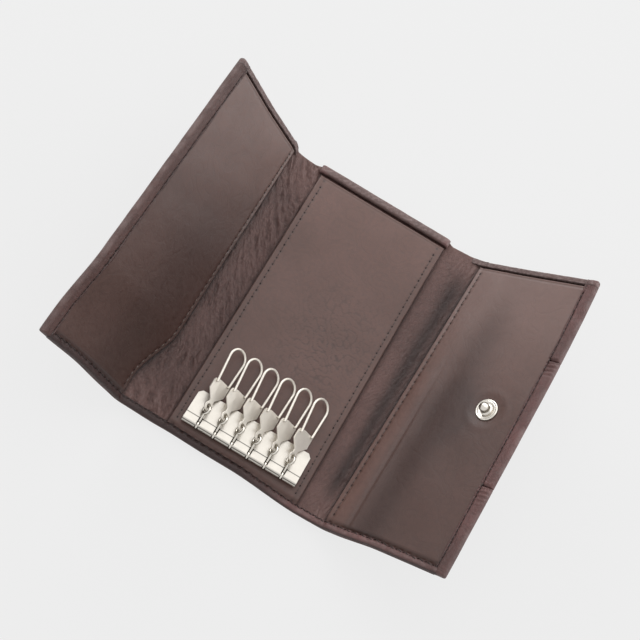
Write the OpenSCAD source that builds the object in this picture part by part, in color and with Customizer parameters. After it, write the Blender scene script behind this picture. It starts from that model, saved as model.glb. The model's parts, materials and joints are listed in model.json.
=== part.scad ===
// Trifold leather key case with a six-hook key bar and a snap, lying open on its back.
// Origin: middle of the centre cover's outer face, which rests on the table.
// X runs across the folds, Y along them, Z up. All lengths are in millimetres.

/* [Case] */
// Length of the case along its folds
case_len = 110; // [96:1:150]
// Distance from the key bar's ends to the centre panel's edges
panel_margin = 3.55; // [2:0.05:8]
// How much narrower the left flap is than the centre panel
left_flap_inset = 5.6; // [3:0.2:9]
// How much narrower the right flap is than the centre panel
right_flap_inset = 2.8; // [1:0.2:6]
// Width of the flat strip between the centre panel and the left fold
left_strip_w = 6.5; // [3:0.5:10]
// Radius of the case's outer corners
corner_r = 1.5; // [1:0.5:6]

/* [Layers] */
// Thickness of the outer leather
cover_t = 0.9; // [0.7:0.1:1.4]
// Thickness of the grained lining leather
lining_t = 0.4; // [0.3:0.1:0.8]
// Thickness of the smooth panel leather
panel_t = 0.8; // [0.6:0.1:1.2]
// Thickness of the stiffening boards
board_t = 0.4; // [0.4:0.1:0.8]
// Thickness of the shielding foil
foil_t = 0.1; // [0.05:0.05:0.2]
// Width of the turned hems along the top and bottom edges
hem_w = 3.6; // [2.5:0.1:5]
// Width of the turned hems along the flaps' outer edges
side_hem_w = 4.3; // [3:0.1:6]
// Height of the turned hems over the lining
hem_t = 0.7; // [0.5:0.1:0.9]

/* [Rest pose] */
// Angle of the left spine strip over the table, in degrees
left_spine_angle = 22; // [10:1:40]
// Further fold of the left flap on its spine strip, in degrees
left_flap_angle = 30; // [10:1:45]
// Angle of the right spine strip over the table, in degrees
right_spine_angle = 8; // [2:1:30]
// Further fold of the right flap on its spine strip, in degrees
right_flap_angle = 30.5; // [10:0.5:45]

/* [Key bar] */
// Distance from one hook to the next
hook_pitch = 6.4; // [5.8:0.1:7.2]
// Distance from the outer hooks to the bar's ends
bar_end = 5.45; // [3:0.05:8]
// Height of the bar's plate from its barrel's edge to its far edge
bar_h = 12.5; // [10.5:0.1:14]
// Thickness of the bar's sheet metal
bar_t = 0.6; // [0.5:0.1:0.8]
// Outer radius of the rolled barrel
barrel_r = 1.2; // [1.15:0.05:1.4]
// Radius of the pin in the barrel
pin_r = 0.6; // [0.5:0.05:0.65]
// Distance from the case's bottom edge to the pin
pin_inset = 7; // [6.8:0.1:9]

/* [Hooks] */
// Radius of the wire of the links
link_wire_r = 0.45; // [0.35:0.05:0.5]
// Radius of a link's ring, to the middle of its wire
link_ring_r = 1.45; // [1.4:0.05:1.6]
// Distance from the pin to the near side of a link's ring
link_reach = 4.6; // [4.4:0.1:5.4]
// Thickness of a hook's stamped plate
hook_t = 0.6; // [0.5:0.1:0.7]
// Length of a hook's plate from the middle of its eye
hook_len = 9.6; // [9:0.2:12]
// Radius of the wire of the spring loops
loop_wire_r = 0.42; // [0.34:0.01:0.5]
// Distance from a hook's eye to the middle of its loop's end arc
loop_reach = 18.4; // [17:0.2:24]
// Roll of the hooks about their own length, in degrees
hook_roll = 40; // [36:1:44]

/* [Snap] */
// Distance from the right flap's outer edge to the stud
stud_inset = 15.7; // [12:0.1:20]
// Place of the snap along the case
snap_y = 1; // [-10:0.5:10]
// Radius of the stud's flange
stud_flange_r = 3.9; // [3:0.1:5]
// Radius of the stud's post
stud_post_r = 1.75; // [1.2:0.05:2]
// Room between the closed flaps for the snap
snap_room = 1.3; // [1.2:0.1:2.5]

/* [Hidden] */
$fn = 48;
// overrun of every cut
cut = 1;
// running clearance of a wire or pin in its hole
running = 0.05;
// clearance between parts that only pass each other
passing = 0.3;
// gap between leather edges that meet at a fold
fold_gap = 0.3;
// shortest way that a piece over the fold plane keeps from a fold
fold_clear = 0.4;

// the case is as wide as its six hooks need
hook_count = 6;
bar_w = (hook_count - 1) * hook_pitch + 2 * bar_end;
panel_w = bar_w + 2 * panel_margin;
left_flap_w = panel_w - left_flap_inset;
right_flap_w = panel_w - right_flap_inset;

// levels of the layers
fold_z = cover_t + lining_t;
centre_board_top = fold_z + board_t;
foil_top = centre_board_top + foil_t;
panel_top = foil_top + panel_t;
flap_board_top = fold_z + board_t;
flap_top = flap_board_top + panel_t;
flap_in = flap_top - fold_z;
side_hem_rise = 0.1;
hem_setback = hem_t + fold_gap;

// margins of the panels inside the hems
centre_panel_low_margin = 5;
centre_panel_high_margin = 4.1;
flap_panel_margin = 3.85;
board_margin = 2;

// pin, barrel and links
eye_r = pin_r + running + link_wire_r;
eye_lift = 0.2;
pin_y = pin_inset - case_len / 2;
pin_z = panel_top + eye_r + link_wire_r + eye_lift;
slot_w = 2 * (link_wire_r + running) + passing;
slot_reach = 2.8;
shank_angle = 27;
shank_r = link_wire_r - running;
ring_near = [pin_y + link_reach * cos(shank_angle), pin_z + link_reach * sin(shank_angle)];

// hook plates, set a little below the middle plane, with the loop above it
hook_drop = 0.2;
loop_rise = hook_t / 2 + running + loop_wire_r - hook_drop;
lane_gap = 0.06;
lane_half = hook_pitch / 2 - lane_gap;
loop_r = (lane_half - loop_wire_r) / cos(hook_roll);
loop_x = -loop_rise * tan(hook_roll);
plate_setback = 0.17;
plate_half = (lane_half - hook_t / 2 * sin(hook_roll)) / cos(hook_roll) - plate_setback;
hook_eye_hole_r = 0.88;
hook_eye_r = 1.7;
neck_half = 1;
ear_wall = 0.36;
ear_hole_r = loop_wire_r + running;
ear_r = ear_hole_r + ear_wall;
ear_inset = 0.93;
ear_reach = 8.4;
ear = [ear_inset - plate_half, ear_reach];
foot_inset = 0.98;
foot_reach = 9.35;
foot = [plate_half - foot_inset, foot_reach];
foot_drop = hook_t + 2 * running;
bead_share = 1.04;

// the hooks lie so that the low side of each loop just clears the panel
loop_rest_gap = 0.4;
closed_gap = 0.2;
loop_low = (loop_r + loop_x) * sin(hook_roll) - loop_rise * cos(hook_roll) + loop_wire_r;
loop_z = panel_top + loop_rest_gap + loop_low;
hook_slope = asin((loop_z - ring_near.y) / (loop_reach + 2 * link_ring_r));
hook_eye = ring_near + 2 * link_ring_r * [cos(hook_slope), sin(hook_slope)];
hook_top_z = hook_eye.y + (plate_half + neck_half / 2) * sin(hook_roll) + closed_gap;

// folds: the left flap closes over the hooks, the right one over the left
left_fold_x = panel_w / 2 + left_strip_w;
right_fold_x = panel_w / 2 + fold_clear;
left_spine_w = hook_top_z + flap_in - fold_z;
right_spine_w = left_spine_w + flap_top + snap_room;

// patchwork seams of the right flap's cover, from the middle of its length
band_high = 23.7;
band_low = -23.3;

// key bar plate and its prongs
bar_edge = pin_y - barrel_r;
bar_far = bar_edge + bar_h;
bar_foot_w = 2.8;
bar_chamfer = 1.2;
bar_seat_gap = 0.02;
prong_w = 1.6;
prong_t = 0.5;
prong_inset = 5.2;
prong_y = bar_far - bar_foot_w / 2;
backing_inset = 2;
backing_w = bar_w - 2 * backing_inset;
backing_h = 4.2;
backing_t = board_t;

// snap
stud_flange_t = 0.45;
stud_post_h = 2.5;
stud_dome_h = 0.8;
stud_shank_r = 1.2;
washer_t = board_t;
stud_washer_r = 3.5;
socket_rise = 0.6;
socket_bore_r = stud_post_r + passing;
socket_wall = 0.5;
socket_r = socket_bore_r + socket_wall;
socket_flange_r = 4.7;
socket_floor = 0.3;
socket_washer_r = 4.2;
window_gap = 0.5;
stud_place = right_flap_w - stud_inset;
socket_place = left_fold_x + right_fold_x - stud_place;

leather = [0.33, 0.24, 0.22];
grain = [0.27, 0.20, 0.19];
smooth = [0.40, 0.32, 0.30];
board = [0.62, 0.56, 0.46];
foil = [0.80, 0.80, 0.82];
nickel = [0.88, 0.86, 0.82];

// A right-hand piece, or its mirror image on the left
module handed(side) {
    if (side < 0) mirror([1, 0, 0]) children();
    else children();
}

// The top end's piece, or its mirror image at the bottom end
module ended(s) {
    if (s < 0) mirror([0, 1, 0]) children();
    else children();
}

function fold_x(side) = side < 0 ? left_fold_x : right_fold_x;
function spine_w(side) = side < 0 ? left_spine_w : right_spine_w;
function flap_w(side) = side < 0 ? left_flap_w : right_flap_w;
function spine_angle(side) = side < 0 ? left_spine_angle : right_spine_angle;
function flap_angle(side) = side < 0 ? left_flap_angle : right_flap_angle;

// From a strip laid flat, x out from its inner fold, to its place at rest
module at_spine(side) {
    handed(side)
        translate([fold_x(side), 0, fold_z])
            rotate([0, -spine_angle(side), 0])
                translate([0, 0, -fold_z])
                    children();
}

// From a flap laid flat, x out from its fold, to its place at rest
module at_flap(side) {
    handed(side)
        translate([fold_x(side), 0, fold_z])
            rotate([0, -spine_angle(side), 0])
                translate([spine_w(side), 0, 0])
                    rotate([0, -flap_angle(side), 0])
                        translate([0, 0, -fold_z])
                            children();
}

// A flat layer between two x and two y, from level low to level high
module layer(x0, x1, y0, y1, low, high) {
    translate([x0, y0, low]) cube([x1 - x0, y1 - y0, high - low]);
}

// Turned hems along the top and bottom edges, between two x
module end_hems(x0, x1) {
    for (s = [-1, 1])
        ended(s) layer(x0, x1, case_len / 2 - hem_w, case_len / 2, 0, fold_z + hem_t);
}

// Outline of a flap whose two outer corners are round
module flap_outline(w) {
    translate([0, -case_len / 2]) square([w - corner_r, case_len]);
    translate([0, corner_r - case_len / 2]) square([w, case_len - 2 * corner_r]);
    for (s = [-1, 1]) translate([w - corner_r, s * (case_len / 2 - corner_r)]) circle(corner_r);
}

// Outer leather of a flap with its hems turned over three edges, between two y
module flap_cover(side, y0, y1) {
    w = flap_w(side);
    intersection() {
        union() {
            layer(fold_gap / 2, w, -case_len / 2, case_len / 2, 0, cover_t);
            end_hems(hem_setback, w);
            layer(w - side_hem_w, w, -case_len / 2, case_len / 2, 0, flap_top + side_hem_rise);
        }
        linear_extrude(2 * flap_top) flap_outline(w);
        layer(0, w, y0, y1, 0, 2 * flap_top);
    }
}

module flap_lining(side) {
    half = case_len / 2 - hem_w;
    layer(fold_gap / 2, flap_w(side) - side_hem_w, -half, half, cover_t, fold_z);
}

module flap_board(side) {
    half = case_len / 2 - flap_panel_margin - board_margin;
    layer(fold_clear + board_margin, flap_w(side) - side_hem_w - board_margin, -half, half,
        fold_z, flap_board_top);
}

// Smooth panel of a flap: its rim closes down on the lining round the board
module flap_panel(side) {
    half = case_len / 2 - flap_panel_margin;
    difference() {
        layer(fold_clear, flap_w(side) - side_hem_w, -half, half, fold_z, flap_top);
        layer(fold_clear + board_margin, flap_w(side) - side_hem_w - board_margin,
            board_margin - half, half - board_margin, fold_z - cut, flap_board_top);
    }
}

// Spine strip: outer leather and its hems
module spine_cover(side) {
    w = spine_w(side);
    layer(fold_gap / 2, w - fold_gap / 2, -case_len / 2, case_len / 2, 0, cover_t);
    end_hems(hem_setback, w - hem_setback);
}

module spine_lining(side) {
    half = case_len / 2 - hem_w;
    layer(fold_gap / 2, spine_w(side) - fold_gap / 2, -half, half, cover_t, fold_z);
}

// Centre body
module cover_centre() {
    color(leather) {
        layer(fold_gap / 2 - left_fold_x, right_fold_x - fold_gap / 2,
            -case_len / 2, case_len / 2, 0, cover_t);
        end_hems(hem_setback - left_fold_x, right_fold_x - hem_setback);
    }
}

module lining_centre() {
    half = case_len / 2 - hem_w;
    color(grain)
        layer(fold_gap / 2 - left_fold_x, right_fold_x - fold_gap / 2, -half, half, cover_t, fold_z);
}

// Window in the centre board and foil for the key bar's backing plate
module backing_window() {
    layer(-(backing_w / 2 + passing), backing_w / 2 + passing,
        prong_y - backing_h / 2 - passing, prong_y + backing_h / 2 + passing,
        fold_z - cut, foil_top);
}

module centre_filling(low, high) {
    difference() {
        layer(board_margin - panel_w / 2, panel_w / 2 - board_margin,
            centre_panel_low_margin + board_margin - case_len / 2,
            case_len / 2 - centre_panel_high_margin - board_margin, low, high);
        backing_window();
    }
}

module stiffener_centre() {
    color(board) centre_filling(fold_z, centre_board_top);
}

module rfid_foil() {
    color(foil) centre_filling(centre_board_top, foil_top);
}

// Places of the key bar's two prongs
module at_prongs() {
    for (s = [-1, 1]) translate([s * (bar_w / 2 - prong_inset), prong_y, 0]) children();
}

module panel_centre() {
    color(smooth)
        difference() {
            layer(-panel_w / 2, panel_w / 2, centre_panel_low_margin - case_len / 2,
                case_len / 2 - centre_panel_high_margin, fold_z, panel_top);
            layer(board_margin - panel_w / 2, panel_w / 2 - board_margin,
                centre_panel_low_margin + board_margin - case_len / 2,
                case_len / 2 - centre_panel_high_margin - board_margin, fold_z - cut, foil_top);
            at_prongs()
                layer(-prong_w / 2 - running, prong_w / 2 + running, -prong_t / 2 - running,
                    prong_t / 2 + running, fold_z, panel_top + cut);
        }
}

// Left spine and flap
module cover_left_spine() {
    color(leather) at_spine(-1) spine_cover(-1);
}

module lining_left_spine() {
    color(grain) at_spine(-1) spine_lining(-1);
}

// Round hole for the snap socket's barrel
module socket_hole(r) {
    translate([socket_place, snap_y, -cut]) cylinder(h = flap_top + cut, r = r);
}

module cover_left_flap() {
    color(leather)
        at_flap(-1)
            difference() {
                flap_cover(-1, -case_len / 2, case_len / 2);
                socket_hole(socket_r + running);
            }
}

module lining_left_flap() {
    color(grain)
        at_flap(-1)
            difference() {
                flap_lining(-1);
                socket_hole(socket_r + running);
            }
}

module stiffener_left() {
    color(board)
        at_flap(-1)
            difference() {
                flap_board(-1);
                socket_hole(socket_washer_r + window_gap);
            }
}

module panel_left() {
    color(smooth) at_flap(-1) flap_panel(-1);
}

// Snap socket in the left flap's outer face, its mouth facing out
module snap_socket() {
    color(nickel)
        at_flap(-1)
            translate([socket_place, snap_y, 0])
                difference() {
                    union() {
                        translate([0, 0, -socket_rise]) cylinder(h = socket_rise, r = socket_flange_r);
                        translate([0, 0, -socket_rise])
                            cylinder(h = socket_rise + flap_board_top, r = socket_r);
                    }
                    translate([0, 0, -socket_rise - cut])
                        cylinder(h = socket_rise + flap_board_top - socket_floor + cut, r = socket_bore_r);
                }
}

module washer(outer_r, hole_r) {
    difference() {
        cylinder(h = washer_t, r = outer_r);
        translate([0, 0, -cut]) cylinder(h = washer_t + 2 * cut, r = hole_r);
    }
}

module snap_socket_washer() {
    color(nickel)
        at_flap(-1)
            translate([socket_place, snap_y, fold_z]) washer(socket_washer_r, socket_r + running);
}

// Right spine and flap
module cover_right_spine() {
    color(leather) at_spine(1) spine_cover(1);
}

module lining_right_spine() {
    color(grain) at_spine(1) spine_lining(1);
}

module cover_right_flap_top() {
    color(leather) at_flap(1) flap_cover(1, band_high, case_len / 2);
}

module cover_right_flap_band() {
    color(leather) at_flap(1) flap_cover(1, band_low, band_high);
}

module cover_right_flap_bottom() {
    color(leather) at_flap(1) flap_cover(1, -case_len / 2, band_low);
}

module lining_right_flap() {
    color(grain) at_flap(1) flap_lining(1);
}

module stiffener_right() {
    color(board)
        at_flap(1)
            difference() {
                flap_board(1);
                translate([stud_place, snap_y, 0])
                    cylinder(h = 2 * flap_top, r = stud_washer_r + window_gap);
            }
}

module panel_right() {
    color(smooth)
        at_flap(1)
            difference() {
                flap_panel(1);
                translate([stud_place, snap_y, 0])
                    cylinder(h = 2 * flap_top, r = stud_shank_r + running);
            }
}

// Snap stud on the right panel: flange, round-topped post and shank through the leather
module snap_stud() {
    straight = stud_post_h - stud_dome_h;
    color(nickel)
        at_flap(1)
            translate([stud_place, snap_y, flap_top]) {
                cylinder(h = stud_flange_t, r = stud_flange_r);
                cylinder(h = straight, r = stud_post_r);
                translate([0, 0, straight])
                    cylinder(h = stud_dome_h, r1 = stud_post_r, r2 = stud_post_r - stud_dome_h);
                translate([0, 0, fold_z + running - flap_top])
                    cylinder(h = flap_top - fold_z, r = stud_shank_r);
            }
}

module snap_stud_washer() {
    color(nickel)
        at_flap(1)
            translate([stud_place, snap_y, fold_z]) washer(stud_washer_r, stud_shank_r + running);
}

// Key bar: a plate that slopes from its rolled barrel down to a flat foot on the panel
module bar_profile() {
    foot_top = panel_top + bar_seat_gap + bar_t;
    translate([pin_y, pin_z]) circle(barrel_r);
    polygon([
        [pin_y, pin_z + barrel_r],
        [bar_far - bar_foot_w, foot_top],
        [bar_far, foot_top],
        [bar_far, foot_top - bar_t],
        [bar_far - bar_foot_w, foot_top - bar_t],
        [pin_y, pin_z + barrel_r - bar_t]
    ]);
}

module bar_outline() {
    half = bar_w / 2;
    polygon([
        [-half, bar_edge - cut],
        [half, bar_edge - cut],
        [half, bar_far - bar_chamfer],
        [half - bar_chamfer, bar_far],
        [bar_chamfer - half, bar_far],
        [-half, bar_far - bar_chamfer]
    ]);
}

function hook_x(i) = (i - (hook_count + 1) / 2) * hook_pitch;

module key_bar() {
    color(nickel) {
        difference() {
            intersection() {
                translate([-bar_w / 2, 0, 0])
                    rotate([90, 0, 90]) linear_extrude(bar_w) bar_profile();
                linear_extrude(2 * pin_z) bar_outline();
            }
            translate([-bar_w, pin_y, pin_z])
                rotate([0, 90, 0]) cylinder(h = 2 * bar_w, r = pin_r + running);
            for (i = [1:hook_count])
                layer(hook_x(i) - slot_w / 2, hook_x(i) + slot_w / 2,
                    bar_edge - cut, pin_y + slot_reach, 0, 2 * pin_z);
        }
        at_prongs()
            layer(-prong_w / 2, prong_w / 2, -prong_t / 2, prong_t / 2, fold_z + running,
                panel_top + bar_seat_gap + bar_t / 2);
    }
}

module key_bar_pin() {
    color(nickel)
        translate([-bar_w / 2, pin_y, pin_z]) rotate([0, 90, 0]) cylinder(h = bar_w, r = pin_r);
}

module key_bar_backing() {
    color(nickel)
        difference() {
            layer(-backing_w / 2, backing_w / 2, prong_y - backing_h / 2, prong_y + backing_h / 2,
                fold_z, fold_z + backing_t);
            at_prongs()
                layer(-prong_w / 2 - running, prong_w / 2 + running, -prong_t / 2 - running,
                    prong_t / 2 + running, fold_z - cut, foil_top + cut);
        }
}

// A ring of round wire lying in the XY plane, or an arc of one
module wire_ring(r, wire_r, turn = 360) {
    rotate_extrude(angle = turn) translate([r, 0]) circle(wire_r);
}

// A straight round wire in the XY plane from p to q
module wire_run(p, q, wire_r) {
    way = q - p;
    translate([p.x, p.y, 0])
        rotate([0, 0, atan2(way.y, way.x)])
            rotate([0, 90, 0]) cylinder(h = norm(way), r = wire_r);
}

// From a hook's own frame, y along it and z out of its plate, to its place at rest
module at_hook(i) {
    translate([hook_x(i), hook_eye.x, hook_eye.y])
        rotate([hook_slope, 0, 0]) rotate([0, hook_roll, 0]) children();
}

// Link i: an eye round the pin, a shank and a rolled ring for the hook
module link(i) {
    color(nickel) {
        translate([hook_x(i), pin_y, pin_z]) rotate([0, 90, 0]) wire_ring(eye_r, link_wire_r);
        translate([hook_x(i), pin_y, pin_z])
            rotate([shank_angle, 0, 0])
                translate([0, eye_r, 0])
                    rotate([-90, 0, 0]) cylinder(h = link_reach - eye_r, r = shank_r);
        at_hook(i)
            translate([0, -link_ring_r, 0]) rotate([0, 90, 0]) wire_ring(link_ring_r, link_wire_r);
    }
}

// Flat outline of a hook's plate between its eye and its ear: neck, shoulders and top
module hook_outline() {
    shoulder = hook_len - 4.4 * neck_half;
    polygon([
        [-neck_half, neck_half],
        [-neck_half, 2.4 * neck_half],
        [-plate_half, shoulder],
        [-plate_half, ear.y],
        [ear.x, ear.y + ear_r - running],
        [-neck_half, hook_len],
        [plate_half - neck_half / 2, hook_len],
        [plate_half, hook_len - neck_half / 2],
        [plate_half, shoulder],
        [neck_half, 2.4 * neck_half],
        [neck_half, neck_half]
    ]);
}

// A round hole through a hook's plate
module plate_hole(place, r) {
    translate([place.x, place.y, -cut]) cylinder(h = hook_t + 2 * cut, r = r);
}

// Hook i: a stamped plate with an eye on the link, an ear for the loop's pivot and a notch
module hook(i) {
    notch_half = ear_hole_r + running;
    color(nickel)
        at_hook(i)
            translate([0, 0, -hook_drop - hook_t / 2])
                difference() {
                    union() {
                        cylinder(h = hook_t, r = hook_eye_r);
                        translate([ear.x, ear.y, 0]) cylinder(h = hook_t, r = ear_r);
                        linear_extrude(hook_t) hook_outline();
                    }
                    plate_hole([0, 0], hook_eye_hole_r);
                    plate_hole(ear, ear_hole_r);
                    layer(foot.x - notch_half, foot.x + notch_half, foot.y - notch_half,
                        2 * hook_len, -cut, hook_t + cut);
                }
}

// Point of the loop's end arc where a straight leg from p runs into it
function touch_angle(p, hand) =
    let (d = p - [loop_x, loop_reach])
    atan2(d.y, d.x) + hand * acos(loop_r / norm(d));

function arc_point(a) = [loop_x, loop_reach] + loop_r * [cos(a), sin(a)];

// Spring loop i: it pivots in the ear, and its other end is turned down into the notch
module loop(i) {
    left_a = touch_angle(ear, -1) + 360;
    right_a = touch_angle(foot, 1);
    bead_r = bead_share * loop_wire_r;
    color(nickel)
        at_hook(i)
            translate([0, 0, loop_rise]) {
                wire_run(ear, arc_point(left_a), loop_wire_r);
                wire_run(foot, arc_point(right_a), loop_wire_r);
                translate([loop_x, loop_reach, 0])
                    rotate([0, 0, right_a]) wire_ring(loop_r, loop_wire_r, left_a - right_a);
                for (p = [ear, foot, arc_point(left_a), arc_point(right_a)])
                    translate([p.x, p.y, 0]) sphere(bead_r);
                for (p = [ear, foot])
                    translate([p.x, p.y, -loop_wire_r - foot_drop])
                        cylinder(h = loop_wire_r + foot_drop, r = loop_wire_r);
            }
}

cover_centre();
lining_centre();
stiffener_centre();
rfid_foil();
panel_centre();
cover_left_spine();
lining_left_spine();
cover_left_flap();
lining_left_flap();
stiffener_left();
panel_left();
snap_socket();
snap_socket_washer();
cover_right_spine();
lining_right_spine();
cover_right_flap_top();
cover_right_flap_band();
cover_right_flap_bottom();
lining_right_flap();
stiffener_right();
panel_right();
snap_stud();
snap_stud_washer();
key_bar();
key_bar_pin();
key_bar_backing();
link(1);  // link_1
link(2);  // link_2
link(3);  // link_3
link(4);  // link_4
link(5);  // link_5
link(6);  // link_6
hook(1);  // hook_1
hook(2);  // hook_2
hook(3);  // hook_3
hook(4);  // hook_4
hook(5);  // hook_5
hook(6);  // hook_6
loop(1);  // loop_1
loop(2);  // loop_2
loop(3);  // loop_3
loop(4);  // loop_4
loop(5);  // loop_5
loop(6);  // loop_6
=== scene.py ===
"""Trifold leather key case, lying open on a pale floor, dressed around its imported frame.

Every leather piece is worked out flat, x across the folds from the middle of the case, y along
them and h over the outer face, and then laid on the twice bent line of its side. Lengths are metres.
"""

import json
import math

import bpy
import bmesh
import numpy as np
from bpy.props import FloatProperty, FloatVectorProperty, IntProperty, PointerProperty
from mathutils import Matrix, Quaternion, Vector

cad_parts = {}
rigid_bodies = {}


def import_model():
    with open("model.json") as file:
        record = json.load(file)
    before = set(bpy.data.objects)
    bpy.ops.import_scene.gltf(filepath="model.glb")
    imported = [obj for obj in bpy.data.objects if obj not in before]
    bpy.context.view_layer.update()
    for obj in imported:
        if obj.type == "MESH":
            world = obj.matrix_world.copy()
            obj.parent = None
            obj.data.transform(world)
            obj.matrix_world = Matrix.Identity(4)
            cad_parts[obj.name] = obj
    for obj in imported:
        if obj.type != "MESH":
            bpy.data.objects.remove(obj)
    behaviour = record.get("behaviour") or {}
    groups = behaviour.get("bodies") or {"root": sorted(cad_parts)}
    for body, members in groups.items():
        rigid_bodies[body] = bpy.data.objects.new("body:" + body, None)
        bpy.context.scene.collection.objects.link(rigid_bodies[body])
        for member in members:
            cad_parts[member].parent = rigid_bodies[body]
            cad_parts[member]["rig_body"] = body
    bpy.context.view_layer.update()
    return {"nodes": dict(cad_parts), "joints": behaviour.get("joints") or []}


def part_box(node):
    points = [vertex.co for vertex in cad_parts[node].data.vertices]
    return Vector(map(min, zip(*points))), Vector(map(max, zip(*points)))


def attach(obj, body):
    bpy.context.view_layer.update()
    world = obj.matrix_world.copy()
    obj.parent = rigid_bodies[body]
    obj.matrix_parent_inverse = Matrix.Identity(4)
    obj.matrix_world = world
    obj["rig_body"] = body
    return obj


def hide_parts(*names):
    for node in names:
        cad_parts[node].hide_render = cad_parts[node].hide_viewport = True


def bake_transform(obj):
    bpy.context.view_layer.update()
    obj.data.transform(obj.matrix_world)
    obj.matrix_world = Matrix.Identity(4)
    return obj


bl_info = {
    "name": "Leather key case",
    "version": (1, 0, 0),
    "blender": (4, 5, 0),
    "location": "View3D > Sidebar > Key case",
    "description": "Dresses the packed key case in stitched leather and polished nickel",
    "category": "Object",
}

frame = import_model()
mm = 0.001
JOINTS = {joint["name"]: joint for joint in frame["joints"]}


def top_of(node):
    """Height of the highest point of a frame node."""
    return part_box(node)[1].z


def side_of_case(word, side):
    """Folds, angles and levels of the case's left or right side, read off the frame's joints."""
    inner, outer = (JOINTS[f"{word}_{part}_fold"] for part in ("spine", "flap"))
    first, second = np.array(inner["pos_m"]), np.array(outer["pos_m"])
    return {
        "word": word,
        "side": side,
        "fold": abs(first[0]),
        "spine": float(np.hypot(*(second - first)[[0, 2]])),
        "spine_angle": math.radians(-inner["range_deg"][0]),
        "flap_angle": math.radians(-outer["range_deg"][0]),
        "first": first,
        "second": second,
    }


LEFT, RIGHT = side_of_case("left", -1), side_of_case("right", 1)
LINING_TOP = JOINTS["left_spine_fold"]["pos_m"][2]
CENTRE_TOP = top_of("panel_centre")
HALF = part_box("cover_centre")[1].y
CENTRE_HALF, CENTRE_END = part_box("panel_centre")[1][:2]
SNAP_Y = (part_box("snap_stud")[0].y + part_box("snap_stud")[1].y) / 2

# The camera of the photograph, solved from the case's corners in it
CAMERA_PLACE, CAMERA_AIM = Vector((0.70, -142.16, 442.39)) * mm, Vector((0.70, 6.08, 0)) * mm
CAMERA_ROLL, CAMERA_LENS, CAMERA_SENSOR = math.radians(30.94), 76.94, 36

# Area lamps (name, place, width, watts), and the world's strength plain and as the camera sees it
LAMPS = (
    ("softbox", (0.0, 0.62, 0.66), 1.35, 5.1),
    ("low right", (0.50, 0.40, 0.10), 0.30, 1.65),
    ("low left", (-0.46, 0.50, 0.28), 0.30, 1.9),
)
WORLD_STRENGTHS = (0.62, 0.95)

# Stitches inside the lip of a side hem, inside that of the bottom roll, and the top roll's width
SIDE_ROW, BOTTOM_ROW, TOP_ROLL = 0.8 * mm, 0.5 * mm, 3.35 * mm

# Half-lengths of the bends at the inner and the outer fold of each side
BENDS = {-1: (3.0 * mm, 1.5 * mm), 1: (0.4 * mm, 1.8 * mm)}

# Grid lines that round a rim
RIM_LINES = 5


def length(name, text, size, low=0.1, high=200):
    """A length that a user may change, given in millimetres."""
    return FloatProperty(
        name=name, description=text, default=size * mm, min=low * mm, max=high * mm,
        subtype="DISTANCE", unit="LENGTH", precision=5,
    )


def colour(name, text, value):
    """A colour that a user may change."""
    return FloatVectorProperty(
        name=name, description=text, default=value, size=3, min=0, max=1, subtype="COLOR"
    )


class CaseSizes(bpy.types.PropertyGroup):
    """Sizes of the leather, its hems and its stitches"""

    left_flap: length("Left flap", "Width of the left flap from its fold", 44.4)
    right_flap: length("Right flap", "Width of the right flap from its fold", 46.8)
    corner: length("Corner", "Radius of the outer corners", 0.7)
    cover: length("Outer leather", "Thickness of the outer leather", 0.9)
    flap_top: length("Flap", "Thickness of a flap with its panel", 2.5)
    bottom_hem: length("Bottom hem", "Width of the roll along the bottom edge", 2.7)
    top_hem: length("Top hem", "Width of the hems beside the pocket mouths", 2.3)
    side_hem: length("Side hem", "Width of the hems along the outer edges", 4.3)
    stitch_pitch: length("Stitch pitch", "Distance from one stitch to the next", 2.75)
    stitch_inset: length("Stitch inset", "Distance from a panel's edge to its stitches", 2.0)
    thread: length("Thread", "Radius of the sewing thread", 0.17, 0.05)
    grid: length("Grid", "Spacing of the points in the leather", 0.36, 0.1, 2)
    wrinkle: length("Wrinkles", "Depth of the lining's wrinkles", 0.34, 0.01)
    seed: IntProperty(name="Seed", description="Picks the wrinkles and creases", default=7)


class CaseColours(bpy.types.PropertyGroup):
    """Colours of the leather, thread and metal"""

    panel: colour("Panels", "Smooth leather of the panels", (0.112, 0.052, 0.040))
    shade: colour("Panel shade", "Darker patches of the smooth leather", (0.078, 0.032, 0.022))
    lining: colour("Lining", "Grained leather of the strips", (0.148, 0.079, 0.069))
    cover: colour("Cover", "Outer leather", (0.084, 0.038, 0.032))
    hem: colour("Hems", "Turned hems, redder than the rest", (0.155, 0.070, 0.066))
    thread: colour("Thread", "Sewing thread", (0.075, 0.050, 0.044))
    hem_thread: colour("Hem thread", "Dark thread of the hems", (0.030, 0.018, 0.016))
    light_thread: colour("Light thread", "Thread of the left flap's seam", (0.15, 0.112, 0.096))
    nickel: colour("Nickel", "Plated metal", (0.90, 0.85, 0.77))
    floor: colour("Floor", "Floor and backdrop", (0.80, 0.80, 0.80))


def sizes():
    """The scene's sizes, which a user may change."""
    return bpy.context.scene.case_sizes


def colours():
    """The scene's colours, which a user may change."""
    return bpy.context.scene.case_colours


# Shapes of one number


def ramp(value, low, high):
    """0 below low, 1 above high and t * t * (3 - 2 * t) between them."""
    t = np.clip((value - low) / (high - low), 0, 1)
    return t * t * (3 - 2 * t)


def steps(value, start, *rises):
    """start plus each rise, which comes in with a ramp between its two places."""
    return start + sum(rise * ramp(value, low, high) for low, high, rise in rises)


def dip(value, middle, reach):
    """exp(-(d / reach) ** 2), for the distance d from the middle."""
    return np.exp(-(((value - middle) / reach) ** 2))


def round_rim(distance, radius):
    """Share of a piece's full thickness at a distance from its edge: a quarter circle."""
    return np.sqrt(1 - (1 - np.clip(distance / radius, 0, 1)) ** 2)


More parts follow.
